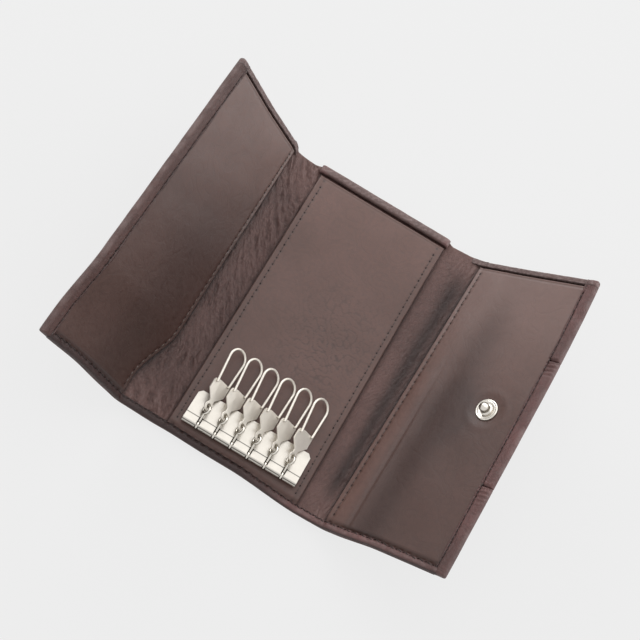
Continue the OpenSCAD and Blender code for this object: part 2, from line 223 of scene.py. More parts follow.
def waves(x, y, size, lean=0.0, spread=math.pi, count=18, salt=0):
    """Sum of cosines whose crests lean at about that angle from the y axis, in -1..1 or so.

    Each is cos(2 pi (x cos a - y sin a) / l + p), with a, l and p drawn once from the seed.
    """
    draw = np.random.default_rng(sizes().seed + salt)
    angle = lean + spread * draw.uniform(-1, 1, count)
    long = size * draw.uniform(0.6, 1.7, count)
    phase = draw.uniform(0, 2 * math.pi, count)
    total = np.zeros(np.broadcast(x, y).shape)
    for a, wave, p in zip(angle, long, phase):
        total += np.cos(2 * math.pi * (x * math.cos(a) - y * math.sin(a)) / wave + p)
    return total / math.sqrt(count / 2) / 1.4


# The bent line that the leather lies on


def seam_shift(leaf, past, y):
    """How far the leather at y runs past its fold: fully at the flap's seam, skewed further out."""
    if leaf["side"] < 0:
        near = mm * steps(-y / mm, -2.35, (24, 46, 5.2), (50, 56, -0.4))
        skew = -0.0423
    else:
        near = -0.45 * mm + 0.036 * y
        skew = 0.036
    mix = ramp(past, 0, 22 * mm)
    return near, near * (1 - mix) + skew * (y - SNAP_Y) * mix


def flap_turn(leaf, y):
    """Angle between spine and flap at y: the right flap is twisted a little."""
    if leaf["side"] < 0:
        return leaf["flap_angle"] + 0 * y
    degrees = 0.25 + 0.065 * y / mm + 0.0012 * np.maximum(y / mm - 10, 0) ** 2
    return leaf["flap_angle"] + np.radians(degrees)


def arc_point(start, half, angle, run):
    """Point and direction at run along a bend of that half-length, tangent to both of its sides.

    The radius is r = half / tan(angle / 2); at the share q of the bend, the turn is q angle,
    and the point lies r sin(turn) on and r (1 - cos(turn)) aside from the bend's start.
    """
    radius = half / np.tan(np.maximum(angle, 1e-4) / 2)
    turn = angle * np.clip(run / (2 * half), 0, 1)
    return start + radius * np.sin(turn), radius * (1 - np.cos(turn)), turn


def bent(leaf, s, y):
    """Place and direction, across and up, at s along the line from the case's middle."""
    half_1, half_2 = BENDS[leaf["side"]]
    a1, a2, spine = leaf["spine_angle"], flap_turn(leaf, y), leaf["spine"]
    run = s - leaf["fold"]
    near, shift = seam_shift(leaf, run - spine, y)
    second = spine + near
    run = np.where(run < 0, run, np.where(run < spine, run * second / spine, run + shift))
    on, off, turn = arc_point(-half_1, half_1, a1, run + half_1)
    past_1 = np.maximum(run - half_1, 0)
    across = np.where(run < -half_1, run, on + past_1 * math.cos(a1))
    up = np.where(run < -half_1, 0, off + past_1 * math.sin(a1))
    on, off, turn_2 = arc_point(second - half_2, half_2, a2, run - second + half_2)
    past_2 = np.maximum(run - second - half_2, 0)
    on, off = on + past_2 * np.cos(a2), off + past_2 * np.sin(a2)
    bending = run > second - half_2
    across = np.where(bending, on * math.cos(a1) - off * math.sin(a1), across)
    up = np.where(bending, on * math.sin(a1) + off * math.cos(a1), up)
    return leaf["fold"] + across, up, np.where(bending, a1 + turn_2, turn)


def end_reach(x, y):
    """How far the leather's ends reach past, or stay short of, the case's nominal length."""
    at = x / mm
    high = steps(at, 1.9, (-83, -58, -0.9), (-43, -37, -1.5), (-28, -25, 1.0), (25, 27.5, -1.2),
                 (55, 84, 0.4))
    low = steps(at, 0.8, (-86, -62, -1.1), (-42, -30, -0.7), (-26, -8, 0.35), (0, 26, 1.4),
                (42, 60, -0.8))
    return mm * (high * ramp(y, 20 * mm, HALF) - low * ramp(-y, 20 * mm, HALF))


def lay(x, y, h):
    """Points x across, y along and h over the outer face, laid on the open case."""
    x, y, h = np.broadcast_arrays(np.asarray(x, float), np.asarray(y, float), np.asarray(h, float))
    result = np.zeros(x.shape + (3,))
    for leaf in (LEFT, RIGHT):
        across, up, turn = bent(leaf, np.abs(x), y)
        lift = h - LINING_TOP
        here = (x < 0) == (leaf["side"] < 0)
        result[..., 0] = np.where(here, leaf["side"] * (across - lift * np.sin(turn)), result[..., 0])
        result[..., 2] = np.where(here, LINING_TOP + up + lift * np.cos(turn), result[..., 2])
    result[..., 1] = y + end_reach(x, y)
    return result


def fold_at(leaf):
    """Across distance, with its sign, of a flap's fold."""
    return leaf["side"] * (leaf["fold"] + leaf["spine"])


def halfway(leaf):
    """Across distance, with its sign, at which the pieces of a spine meet."""
    return leaf["side"] * (leaf["fold"] + 0.56 * leaf["spine"])


def outer_edge(leaf):
    """Across distance, with its sign, of a flap's outer edge."""
    width = sizes().left_flap if leaf["side"] < 0 else sizes().right_flap
    return fold_at(leaf) + leaf["side"] * width


def past_fold(leaf, x):
    """How far x lies past a flap's fold."""
    return np.abs(x) - abs(fold_at(leaf))


def across_of(leaf, past):
    """Across distance, with its sign, of a place so far past a flap's fold."""
    return fold_at(leaf) + leaf["side"] * past


# Meshes


def add_object(name, vertices, faces, body, material):
    """A smooth mesh in metres, at the origin, that rides on a body by its name or stays unparented."""
    mesh = bpy.data.meshes.new(name)
    mesh.from_pydata(np.asarray(vertices).reshape(-1, 3), [], faces)
    mesh.polygons.foreach_set("use_smooth", np.ones(len(mesh.polygons), bool))
    mesh.materials.append(material)
    mesh.update()
    obj = bpy.data.objects.new(name, mesh)
    bpy.context.scene.collection.objects.link(obj)
    carry(obj, body)
    return obj


def carry(obj, body):
    """Lets a piece ride on a body by its name; given two bodies across a joint, it bakes the piece's place
    into its mesh and nothing more.
    """
    if isinstance(body, str):
        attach(obj, body)
    elif body:
        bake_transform(obj)


def paint(obj, **layers):
    """Stores one number per point for the materials to read, such as wear, painted highlight or painted
    shade.
    """
    for name, values in layers.items():
        attribute = obj.data.attributes.new(name, "FLOAT", "POINT")
        attribute.data.foreach_set("value", np.asarray(values, np.float32).ravel())


def quads(index):
    """Faces between the rows and columns of a grid of vertex numbers, facing up."""
    corners = index[:-1, :-1], index[1:, :-1], index[1:, 1:], index[:-1, 1:]
    return np.stack(corners, -1).reshape(-1, 4)


def lines(low, high, step, rim=0.0, zones=()):
    """Grid lines from low to high: even, closer in zones (from, to, step), and closest at a rim.

    The rim's lines lie at rim * (1 - cos(turn)) from the edge, for even turns up to 90 degrees.
    """
    every = np.linspace(low, high, max(2, round((high - low) / step) + 1))
    for start, end, close in zones:
        start, end = max(start, low), min(end, high)
        if end > start:
            inside = np.linspace(start, end, max(2, round((end - start) / close) + 1))
            every = np.concatenate([every[(every < start) | (every > end)], inside])
    if rim:
        curve = rim * (1 - np.cos(np.linspace(0, math.pi / 2, RIM_LINES)))
        kept = every[(every > low + rim) & (every < high - rim)]
        every = np.concatenate([kept, low + curve, high - curve])
    every = np.sort(every)
    every = every[np.concatenate([[True], np.diff(every) > 0.02 * mm])]
    every[0], every[-1] = low, high
    return every


def outline(xs, ys, butts, corner, ends):
    """The grid's x and y and each point's distance to the free outline, with round outer corners.

    Towards a round corner, the lines along x draw in by r - sqrt(r ** 2 - (r - out) ** 2), and
    the distance there is r less the distance to the corner's middle.
    """
    x, v = np.meshgrid(xs, ys, indexing="ij")
    middle, reach = (ys[0] + ys[-1]) / 2, (ys[-1] - ys[0]) / 2
    border = np.zeros(x.shape, bool)
    border[:, [0, -1]] = True
    side = np.full(x.shape, 1.0)
    for row, end in ((0, xs[0]), (-1, xs[-1])):
        if not meets(end, butts):
            border[row] = True
            side = np.minimum(side, abs(x - end))
    if corner is None:
        return x, v, np.minimum(side, reach - np.abs(v - middle)), border
    radius, out = sizes().corner, np.abs(corner - x)
    cut = radius - np.sqrt(radius**2 - np.clip(radius - out, 0, radius) ** 2)
    round_end = np.where(v > middle, ends[1], ends[0])
    y = middle + (v - middle) * (reach - cut * round_end) / reach
    along = reach - np.abs(y - middle) + 1 - round_end
    hollow = radius - np.hypot(np.clip(radius - out, 0, None), np.clip(radius - along, 0, None))
    within = (out < radius) & (along < radius)
    plain = reach - np.abs(v - middle)
    return x, y, np.minimum(side, np.where(within, hollow, np.minimum(along, plain + round_end))), border


def meets(end, butts):
    """Whether a piece's end is one of the places where it meets the next piece."""
    return any(abs(end - butt) < 0.001 * mm for butt in butts)


def slab(name, xs, ys, top, bottom, rim, body, material, butts=(), corner=None, ends=(1, 1),
         marks=None):
    """A closed leather piece between two heights over a grid, its free edges rounded.

    Both heights close in on their mean by the quarter circle round_rim(distance to the edge).
    butts are the x at which the piece meets the next one, with a plain wall. corner is the x of an
    outer edge whose corners are round, at the low and the high end where ends says 1.
    marks(x, y, d) gives the numbers to paint.
    """
    x, y, distance, border = outline(xs, ys, butts, corner, ends)
    share = np.where(border, 0, round_rim(distance, rim))
    high, low = top(x, y), bottom(x, y)
    middle = (high + low) / 2
    upper = lay(x, y, middle + (high - middle) * share)
    lower = lay(x, y, middle + (low - middle) * share)
    index, inner = np.arange(x.size).reshape(x.shape), ~border
    under = index.copy()
    under[inner] = x.size + np.arange(inner.sum())
    faces = quads(index).tolist() + quads(under)[:, ::-1].tolist()
    for row, end in ((0, xs[0]), (-1, xs[-1])):
        if meets(end, butts):
            pair = [index[row], under[row]] if row == 0 else [under[row], index[row]]
            faces += [list(dict.fromkeys(face)) for face in quads(np.stack(pair)).tolist()]
    obj = add_object(name, np.concatenate([upper.reshape(-1, 3), lower[inner]]), faces, None, material)
    if butts:
        match_normals(obj, butts, xs, y, top, bottom, index, under)
    for key, values in (marks(x, y, distance) if marks else {}).items():
        values = np.broadcast_to(values, x.shape)
        paint(obj, **{key: np.concatenate([values.ravel(), values[inner]])})
    carry(obj, body)
    return obj


def match_normals(obj, butts, xs, y, top, bottom, index, under):
    """Gives the points where two pieces meet the normals of the one surface they are cut from."""
    step = 0.05 * mm
    inside_rims = slice(RIM_LINES - 1, 1 - RIM_LINES)
    normals = np.zeros((len(obj.data.vertices), 3))
    for butt in butts:
        row = 0 if meets(xs[0], (butt,)) else -1
        at = y[row]
        for height, points, sign in ((top, index[row], 1), (bottom, under[row], -1)):
            near = [lay(butt + d, at, height(butt + d + 0 * at, at)) for d in (-step, step)]
            far = [lay(butt, at + d, height(butt + 0 * at, at + d)) for d in (-step, step)]
            cross = unit(np.cross(near[1] - near[0], far[1] - far[0]))
            normals[points[inside_rims]] = sign * cross[inside_rims]
    obj.data.normals_split_custom_set_from_vertices(normals)


def bend_inner(leaf):
    """The centre and the spine on either side of the inner fold, with a point before the fold and one after
    it.
    """
    start, end = (3.2, 3.2) if leaf["side"] < 0 else (0.35, 4.2)
    out = np.array([leaf["side"], 0, 0])
    along = np.array([leaf["side"] * math.cos(leaf["spine_angle"]), 0, math.sin(leaf["spine_angle"])])
    return (
        "centre", leaf["word"] + "_spine",
        tuple(leaf["first"] - start * mm * out), tuple(leaf["first"] + end * mm * along),
    )


def bend_outer(leaf):
    """The spine and the flap on either side of the outer fold, with a point before the fold and one after it.
    """
    a1, a2 = leaf["spine_angle"], leaf["spine_angle"] + leaf["flap_angle"]
    before = np.array([leaf["side"] * math.cos(a1), 0, math.sin(a1)])
    after = np.array([leaf["side"] * math.cos(a2), 0, math.sin(a2)])
    return (
        leaf["word"] + "_spine", leaf["word"] + "_flap",
        tuple(leaf["second"] - 3.4 * mm * before), tuple(leaf["second"] + 2.2 * mm * after),
    )


def tubes(name, centres, across, upward, widths, heights, body, material, sides=8):
    """Many closed rods at once: each ring is an ellipse round its centre, the end rings poles.

    centres is (rods, rings, 3). across and upward are the ellipse's axes there, scaled by widths
    and heights, one number per ring, which are zero at both ends.
    """
    rods, rings = centres.shape[:2]
    widths, heights = widths[None, :, None, None], heights[None, :, None, None]
    turn = np.linspace(0, 2 * math.pi, sides, endpoint=False)
    circle = np.cos(turn)[None, None, :, None] * across[:, :, None] * widths
    circle = circle + np.sin(turn)[None, None, :, None] * upward[:, :, None] * heights
    points = (centres[:, :, None] + circle)[:, 1:-1]
    vertices = np.concatenate([centres[:, [0, -1]], points.reshape(rods, -1, 3)], 1)
    per = vertices.shape[1]
    ring = 2 + np.arange((rings - 2) * sides).reshape(rings - 2, sides)
    after = np.roll(ring, -1, 1)
    wall = np.stack([ring[:-1], after[:-1], after[1:], ring[1:]], -1).reshape(-1, 4)
    start = np.stack([np.zeros(sides, int), after[0], ring[0]], -1)
    end = np.stack([np.ones(sides, int), ring[-1], after[-1]], -1)
    faces = []
    for rod in range(rods):
        for part in (wall, start, end):
            faces += (part + rod * per).tolist()
    add_object(name, vertices, faces, body, material)


def unit(vectors):
    """Each vector over its own length."""
    return vectors / np.linalg.norm(vectors, axis=-1, keepdims=True)


# Materials


def node(tree, kind, values=None, **settings):
    """Adds a shader node, with sockets set or linked by name or number."""
    made = tree.nodes.new(kind)
    for key, value in settings.items():
        setattr(made, key, value)
    for key, value in (values or {}).items():
        if isinstance(value, bpy.types.NodeSocket):
            tree.links.new(value, made.inputs[key])
        else:
            made.inputs[key].default_value = value
    return made


def maths(tree, operation, a, b=0.0, clamp=False):
    """The result of one operation on two values."""
    return node(tree, "ShaderNodeMath", {0: a, 1: b}, operation=operation, use_clamp=clamp).outputs[0]


def mixed(tree, share, a, b, blend_type="MIX"):
    """Two colours mixed by a share."""
    values = {0: share, 6: a, 7: b}
    return node(tree, "ShaderNodeMix", values, data_type="RGBA", blend_type=blend_type).outputs[2]


def spread(tree, value, low, high, to_low=0.0, to_high=1.0):
    """A value's stretch from low to high mapped onto another, clamped."""
    values = {0: value, 1: low, 2: high, 3: to_low, 4: to_high}
    return node(tree, "ShaderNodeMapRange", values).outputs[0]


def noise(tree, at, scale, detail=2.0, **more):
    """Cloudy noise on a place, with that many cells to a metre."""
    values = {"Vector": at, "Scale": scale, "Detail": detail, **more}
    return node(tree, "ShaderNodeTexNoise", values).outputs[0]


def object_place(tree):
    """A piece's own place in metres, which stays with it as it moves."""
    return node(tree, "ShaderNodeTexCoord").outputs["Object"]


def tone(tint, share=1.0):
    """A colour scaled by a share, as a socket takes it."""
    return (*[share * c for c in tint], 1)


def new_group(name, inputs, outputs):
    """A shader node group with float or vector inputs and its named outputs."""
    group = bpy.data.node_groups.new(name, "ShaderNodeTree")
    for label, kind, value in inputs:
        socket = group.interface.new_socket(label, in_out="INPUT", socket_type=kind)
        if value is not None:
            socket.default_value = value
    for label, kind in outputs:
        group.interface.new_socket(label, in_out="OUTPUT", socket_type=kind)
    return group, group.nodes.new("NodeGroupInput"), group.nodes.new("NodeGroupOutput")


def group_of(name):
    """A node group, made the first time that it is asked for."""
    return bpy.data.node_groups.get(name) or {"Hide": make_hide, "Patina": make_patina}[name]()


def make_hide():
    """Pores and creases of leather: a cell pattern pressed by warped, drawn-out noise."""
    inputs = [
        ("Vector", "NodeSocketVector", None), ("Pore size", "NodeSocketFloat", 0.0006),
        ("Crease size", "NodeSocketFloat", 0.004), ("Pore depth", "NodeSocketFloat", 0.5),
        ("Crease depth", "NodeSocketFloat", 0.5),
    ]
    outputs = [("Height", "NodeSocketFloat"), ("Hollow", "NodeSocketFloat")]
    group, given, put = new_group("Hide", inputs, outputs)
    at = given.outputs
    per_pore = maths(group, "DIVIDE", 1.0, at["Pore size"])
    per_crease = maths(group, "DIVIDE", 1.0, at["Crease size"])
    cells = node(group, "ShaderNodeTexVoronoi",
                 {"Vector": at["Vector"], "Scale": per_pore, "Randomness": 0.9},
                 feature="DISTANCE_TO_EDGE").outputs["Distance"]
    pores = spread(group, cells, 0.0, 0.22)
    warp = noise(group, at["Vector"], per_crease, 4.0, Distortion=1.4)
    ridge = maths(group, "ABSOLUTE", maths(group, "SUBTRACT", warp, 0.5))
    crease = spread(group, ridge, 0.0, 0.06)
    fine = noise(group, at["Vector"], maths(group, "MULTIPLY", per_pore, 2.3))
    fine_depth = maths(group, "MULTIPLY", at["Pore depth"], 0.35)
    depth = maths(group, "MULTIPLY", pores, at["Pore depth"])
    depth = maths(group, "ADD", depth, maths(group, "MULTIPLY", crease, at["Crease depth"]))
    depth = maths(group, "ADD", depth, maths(group, "MULTIPLY", fine, fine_depth))
    group.links.new(depth, put.inputs["Height"])
    hollow = maths(group, "MULTIPLY", maths(group, "SUBTRACT", 1.0, crease), at["Crease depth"], True)
    group.links.new(hollow, put.inputs["Hollow"])
    return group


def make_patina():
    """Slow blotches of wear and oil: two layers of noise, one broad and one fine."""
    inputs = [("Vector", "NodeSocketVector", None), ("Size", "NodeSocketFloat", 0.02)]
    outputs = [("Blotches", "NodeSocketFloat"), ("Mottle", "NodeSocketFloat")]
    group, given, put = new_group("Patina", inputs, outputs)
    at = given.outputs["Vector"]
    per = maths(group, "DIVIDE", 1.0, given.outputs["Size"])
    broad = noise(group, at, per, 3.0)
    fine = noise(group, at, maths(group, "MULTIPLY", per, 14.0), 5.0, Roughness=0.6)
    group.links.new(spread(group, broad, 0.3, 0.7), put.inputs["Blotches"])
    group.links.new(spread(group, fine, 0.3, 0.7), put.inputs["Mottle"])
    return group


def new_material(name):
    """A material with its node tree and its shader."""
    material = bpy.data.materials.new(name)
    material.use_nodes = True
    tree = material.node_tree
    return material, tree, tree.nodes["Principled BSDF"]


def attribute(tree, name):
    """The numbers that paint stored under a name."""
    return node(tree, "ShaderNodeAttribute", attribute_name=name).outputs["Fac"]


def finish(tree, shader, base, roughness, height, relief, strength=1.0):
    """Gives a shader its colour and roughness, and a height pressed in as deep as relief."""
    tree.links.new(base, shader.inputs["Base Color"])
    tree.links.new(roughness, shader.inputs["Roughness"])
    bump = node(tree, "ShaderNodeBump", {"Height": height, "Strength": strength, "Distance": relief})
    tree.links.new(bump.outputs[0], shader.inputs["Normal"])


def leather(name, main, dark, turned, pore, crease, pore_depth, crease_depth, rough, relief, shine):
    """Leather with pores, creases, blotches, worn rims, painted highlights, and painted shade in its creases
    and grooves.
    """
    found = bpy.data.materials.get(name)
    if found:
        return found
    material, tree, shader = new_material(name)
    at = object_place(tree)
    values = {"Vector": at, "Pore size": pore, "Crease size": crease, "Pore depth": pore_depth,
              "Crease depth": crease_depth}
    hide = node(tree, "ShaderNodeGroup", values, node_tree=group_of("Hide"))
    blot = node(tree, "ShaderNodeGroup", {"Vector": at, "Size": 18 * mm}, node_tree=group_of("Patina"))
    body = mixed(tree, attribute(tree, "turned"), tone(main), tone(turned))
    base = mixed(tree, spread(tree, blot.outputs["Blotches"], 0.0, 1.0, 0.25, 1.0), tone(dark), body)
    fleck = spread(tree, blot.outputs["Mottle"], 0.0, 1.0, 0.88, 1.1)
    flecks = node(tree, "ShaderNodeCombineColor", {0: fleck, 1: fleck, 2: fleck}).outputs[0]
    base = mixed(tree, 1.0, base, flecks, "MULTIPLY")
    # Painted shade: the hide's crease hollows darken the colour towards the dark tone.
    base = mixed(tree, maths(tree, "MULTIPLY", hide.outputs["Hollow"], 0.45), base, tone(dark, 0.45))
    # Wear and painted highlight: where painted, the colour turns lighter and greyer.
    worn = maths(tree, "MULTIPLY", attribute(tree, "worn"), 0.6, True)
    base = mixed(tree, worn, base, (*[1.5 * c + 0.125 for c in main], 1))
    # Painted shade, and the centre panel's cracks: where painted, the colour turns nearly black.
    soil = maths(tree, "MULTIPLY", attribute(tree, "soil"), 0.85, True)
    base = mixed(tree, soil, base, (0.2 * dark[0], 0.12 * dark[1], 0.1 * dark[2], 1))
    roughness = spread(tree, blot.outputs["Mottle"], 0.0, 1.0, rough - 0.07, rough + 0.08)
    finish(tree, shader, base, roughness, hide.outputs["Height"], relief)
    shader.inputs["Specular IOR Level"].default_value = shine
    return material


def thread(name, tint):
    """Waxed thread: fine slanted strands on the piece's own place."""
    found = bpy.data.materials.get(name)
    if found:
        return found
    material, tree, shader = new_material(name)
    values = {"Vector": object_place(tree), "Scale": 900.0, "Distortion": 2.0}
    strands = node(tree, "ShaderNodeTexWave", values).outputs["Fac"]
    base = mixed(tree, strands, tone(tint, 0.6), tone(tint))
    finish(tree, shader, base, spread(tree, strands, 0, 1, 0.5, 0.7), strands, 0.03 * mm)
    return material


def needle_hole():
    """Painted shade: a dark colour for the shadowed inside of a needle hole."""
    found = bpy.data.materials.get("needle hole")
    if found:
        return found
    material, tree, shader = new_material("needle hole")
    # Painted shade, speckled with near-black flecks.
    hole_speckle = noise(tree, object_place(tree), 1500.0)
    base = mixed(tree, hole_speckle, (0.012, 0.008, 0.007, 1), (0.03, 0.02, 0.018, 1))
    tree.links.new(base, shader.inputs["Base Color"])
    shader.inputs["Roughness"].default_value = 0.9
    shader.inputs["Specular IOR Level"].default_value = 0.1
    return material


def nickel(name="nickel plate", rough=0.24, rim=0.85, metal=1.0, share=0.8, dark_lines=()):
    """Nickel plate: warm grey, with hairline scratches and dull blotches.

    rim is how dark the colour is painted where the surface turns away from the view, a painted reflection;
    share scales its colour;
    and the last argument gives the y of lines pressed in and painted dark, as painted shade and a painted
    reflection.
    """
    found = bpy.data.materials.get(name)
    if found:
        return found
    material, tree, shader = new_material(name)
    at = object_place(tree)
    blot = node(tree, "ShaderNodeGroup", {"Vector": at, "Size": 3 * mm}, node_tree=group_of("Patina"))
    values = {"Vector": at, "Scale": (1.0, 9.0, 1.0), "Rotation": (0, 0, 0.4)}
    stretched = node(tree, "ShaderNodeMapping", values).outputs[0]
    hair = noise(tree, stretched, 700.0, 3.0)
    tint = [share * c for c in colours().nickel]
    dull = maths(tree, "MULTIPLY", blot.outputs["Blotches"], 0.5)
    base = mixed(tree, dull, tone(tint), tone(tint, 0.86))
    height = maths(tree, "MULTIPLY", hair, 0.12)
    # Painted shade and reflection: each line is pressed in and painted dark, at the barrel's fold and where
    # the dark leather is mirrored along its lower side.
    for dark_line in dark_lines:
        along = node(tree, "ShaderNodeSeparateXYZ", {0: at}).outputs["Y"]
        away = maths(tree, "ABSOLUTE", maths(tree, "SUBTRACT", along, dark_line))
        off_line = spread(tree, away, 0.08 * mm, 0.24 * mm)
        base = mixed(tree, off_line, tone(tint, 0.22), base)
        height = maths(tree, "ADD", height, off_line)
    # Painted reflection: the colour darkens where the surface turns away from the view, for the dark leather
    # that the plate would mirror there.
    facing = node(tree, "ShaderNodeLayerWeight", {"Blend": 0.5}).outputs["Facing"]
    base = mixed(tree, spread(tree, facing, 0.22, 0.62, 0.0, rim), base, (0.09, 0.075, 0.045, 1))
    roughness = spread(tree, blot.outputs["Mottle"], 0, 1, rough - 0.05, rough + 0.07)
    finish(tree, shader, base, roughness, height, 0.04 * mm, 0.5)
    shader.inputs["Metallic"].default_value = metal
    return material


def board_stuff(name, tint, rough):
    """Grey board or foil, seen only at an edge."""
    material, tree, shader = new_material(name)
    fibre = noise(tree, object_place(tree), 2500.0, 4.0)
    tree.links.new(mixed(tree, fibre, tone(tint, 0.7), tone(tint)), shader.inputs["Base Color"])
    shader.inputs["Roughness"].default_value = rough
    return material


def smooth_leather():
    """Leather of the panels: fine pores and a soft sheen."""
    c = colours()
    return leather("smooth leather", c.panel, c.shade, c.panel, pore=0.35 * mm, crease=9 * mm,
                   pore_depth=0.25, crease_depth=0.3, rough=0.42, relief=0.04 * mm, shine=0.6)


def grain_leather():
    """Leather of the lining: small, sharp creases."""
    c = colours()
    return leather("grained lining", c.lining, [0.6 * v for v in c.lining], c.lining, pore=0.45 * mm,
                   crease=1.6 * mm, pore_depth=0.5, crease_depth=0.5, rough=0.45, relief=0.09 * mm,
                   shine=0.38)


def outer_leather():
    """Leather of the covers and the hems: coarse pores, redder where it is turned."""
    c = colours()
    return leather("outer leather", c.cover, [0.6 * v for v in c.cover], c.hem, pore=0.5 * mm,
                   crease=3.5 * mm, pore_depth=0.5, crease_depth=0.6, rough=0.45, relief=0.09 * mm,
                   shine=0.45)


# Heights and marks of the leather pieces


def puckers(x, y, wide, long, salt):
    """Puffy ridges with sharp valleys between them: |n| ** 0.7 for long, narrow waves n."""
    return np.abs(waves(x, y, 2 * wide, spread=wide / long, count=26, salt=salt)) ** 0.7


def drift(y):
    """Sideways run of the left strip's ridges: steady from the top, steeper at the lower end."""
    low = np.minimum(y + 25 * mm, 0)
    return 0.48 * y - 0.15 * low


def strip_relief(x, y):
    """Wrinkles of the lining on the spines, in -1..1: tight on the left, long and soft on the right.

    The left ones lean and fan out at the lower end; the right ones run along the flap's seam and
    deepen towards it.
    """
    left = x < 0
    tight = puckers(x + drift(y), y, 1.5 * mm, 1.9 * mm, 60)
    fine = puckers(x + drift(y), y, 0.8 * mm, 0.85 * mm, 64)
    near_seam = ramp(np.abs(x) - CENTRE_HALF, 5 * mm, 9 * mm)
    loose = puckers(x + 0.1 * y, y, 1.6 * mm, 3.4 * mm, 68)
    cross = puckers(x - 0.5 * y, y, 1.1 * mm, 1.3 * mm, 72)
    uneven = 0.75 + 0.25 * waves(x, y, 11 * mm, salt=5)
    swells = waves(x + drift(y), y, 3.2 * mm, 0, 0.45, 16, salt=4)
    gathered = 0.36 * tight + 0.34 * fine + 0.3 * swells
    relaxed = (0.1 + 0.38 * near_seam) * loose + 0.14 * cross
    return uneven * (1.7 * np.where(left, gathered, relaxed) - np.where(left, 0.65, 0.35))


def nearest_fold(x):
    """Across distance, without its sign, of the flap's fold on the side of x."""
    return np.where(x < 0, abs(fold_at(LEFT)), abs(fold_at(RIGHT)))


def calm_under(x):
    """1 on the open strips and 0 under the panels, where the lining lies flat."""
    s, fold = np.abs(x), nearest_fold(x)
    before_flap = 1 - ramp(s, fold - 0.6 * mm, fold + 0.6 * mm)
    return ramp(s, CENTRE_HALF - 0.2 * mm, CENTRE_HALF + 0.8 * mm) * before_flap


def lining_height(x, y):
    """Top of the lining: wrinkled on the spines and flat under the panels."""
    return LINING_TOP + sizes().wrinkle * strip_relief(x, y) * calm_under(x)


def gape(x, y):
    """How far the outer leather hangs away from the roll along the bottom edge."""
    at = x / mm
    open_places = dip(at, -52, 8) + 0.8 * dip(at, -30, 6) + dip(at, 40, 13)
    return 0.9 * mm * open_places * ramp(-y, HALF - 7 * mm, HALF)


def cover_low(x, y):
    """The outer face: slow waves where it doesn't lie on the table, and the gaping bottom edge."""
    lift = ramp(np.abs(x), 26 * mm, 34 * mm)
    return 0.04 * mm * waves(x, y, 12 * mm, salt=8) * lift - gape(x, y)


def cover_high(x, y):
    """The inner face of the outer leather, which follows the gaping bottom edge."""
    return sizes().cover - gape(x, y)


def stitch_pull(place):
    """1 at each stitch hole along a row and 0 halfway between them: (1 + cos) / 2."""
    return 0.5 + 0.5 * np.cos(2 * math.pi * place / sizes().stitch_pitch)


def tray_top(leaf):
    """Top of a flap's outer leather: flat, and turned up over its outer and its top edge.

    Each hem rises with a ramp at its lip, and the top one grows out of the spine. The side hem
    has a stitched groove, puckers beside the patch seams and a bump where it is folded over at
    the corner.
    """

    def height(x, y):
        size = sizes()
        side_in, top_in = abs(outer_edge(leaf)) - np.abs(x), HALF - y
        crooked = 0.10 * mm * waves(0 * x, y, 16 * mm, salt=70 + leaf["side"])
        row = side_in - size.side_hem + SIDE_ROW + crooked
        side = size.flap_top + 0.30 * mm + 0.05 * mm * waves(x, y, 6 * mm, salt=50)
        side = side - (0.10 + 0.16 * stitch_pull(y)) * mm * dip(row, 0, 0.34 * mm)
        to_corner = np.hypot(side_in - 2.2 * mm, top_in - 1.8 * mm)
        side = side + 0.35 * mm * dip(to_corner, 0, 1.8 * mm)
        if leaf["side"] > 0:
            for seam in band_ends():
                fold = np.cos(2 * math.pi * (y - seam) / (1.5 * mm) + side_in / (1.6 * mm))
                side = side + 0.16 * mm * fold * dip(y, seam - 2.2 * mm, 3.2 * mm)
        top = size.flap_top + 0.05 * mm + 0.08 * mm * waves(x, y, 4 * mm, salt=51)
        rise = ramp(size.side_hem + crooked - side_in, -0.12 * mm, 0.12 * mm)
        rise_top = ramp(size.top_hem - top_in, -0.12 * mm, 0.12 * mm)
        rise_top = rise_top * ramp(np.abs(x), abs(halfway(leaf)) + 0.5 * mm, abs(fold_at(leaf)))
        hems = size.cover + np.maximum((side - size.cover) * rise, (top - size.cover) * rise_top)
        return np.maximum(hems, cover_high(x, y) * (1 - np.maximum(rise, rise_top)))

    return height


def tray_marks(leaf):
    """Marks of a flap's outer leather: turned on the hems, worn on their rims, with painted shade at their
    lips and in the stitched groove.
    """

    def marks(x, y, d):
        size = sizes()
        side_in, top_in = abs(outer_edge(leaf)) - np.abs(x), HALF - y
        turned = (side_in < size.side_hem) * (0.1 if leaf["side"] < 0 else 1.0)
        # Painted shade at the lips of the side and top hems and in the stitched groove.
        side_lip = 0.85 * dip(side_in, size.side_hem, 0.2 * mm)
        top_lip = 0.8 * dip(top_in, size.top_hem, 0.2 * mm)
        groove = 0.8 * dip(side_in, size.side_hem - SIDE_ROW, 0.28 * mm) * (0.45 + 0.55 * stitch_pull(y))
        soil = np.maximum(np.maximum(side_lip, top_lip), groove)
        rubbed = 0.5 * dip(d, 0.1 * mm, 0.5 * mm) * (0.55 + 0.45 * waves(x, y, 5 * mm, salt=11))
        speckled = (top_in < size.top_hem) * (0.3 + 0.7 * ramp(waves(x, y, 1.2 * mm, salt=12), -0.2, 0.9))
        return {"turned": turned, "worn": np.maximum(rubbed, speckled), "soil": soil}

    return marks


def band_ends():
    """The two places along the case where the right flap's patches meet."""
    low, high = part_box("cover_right_flap_band")
    return low.y, high.y


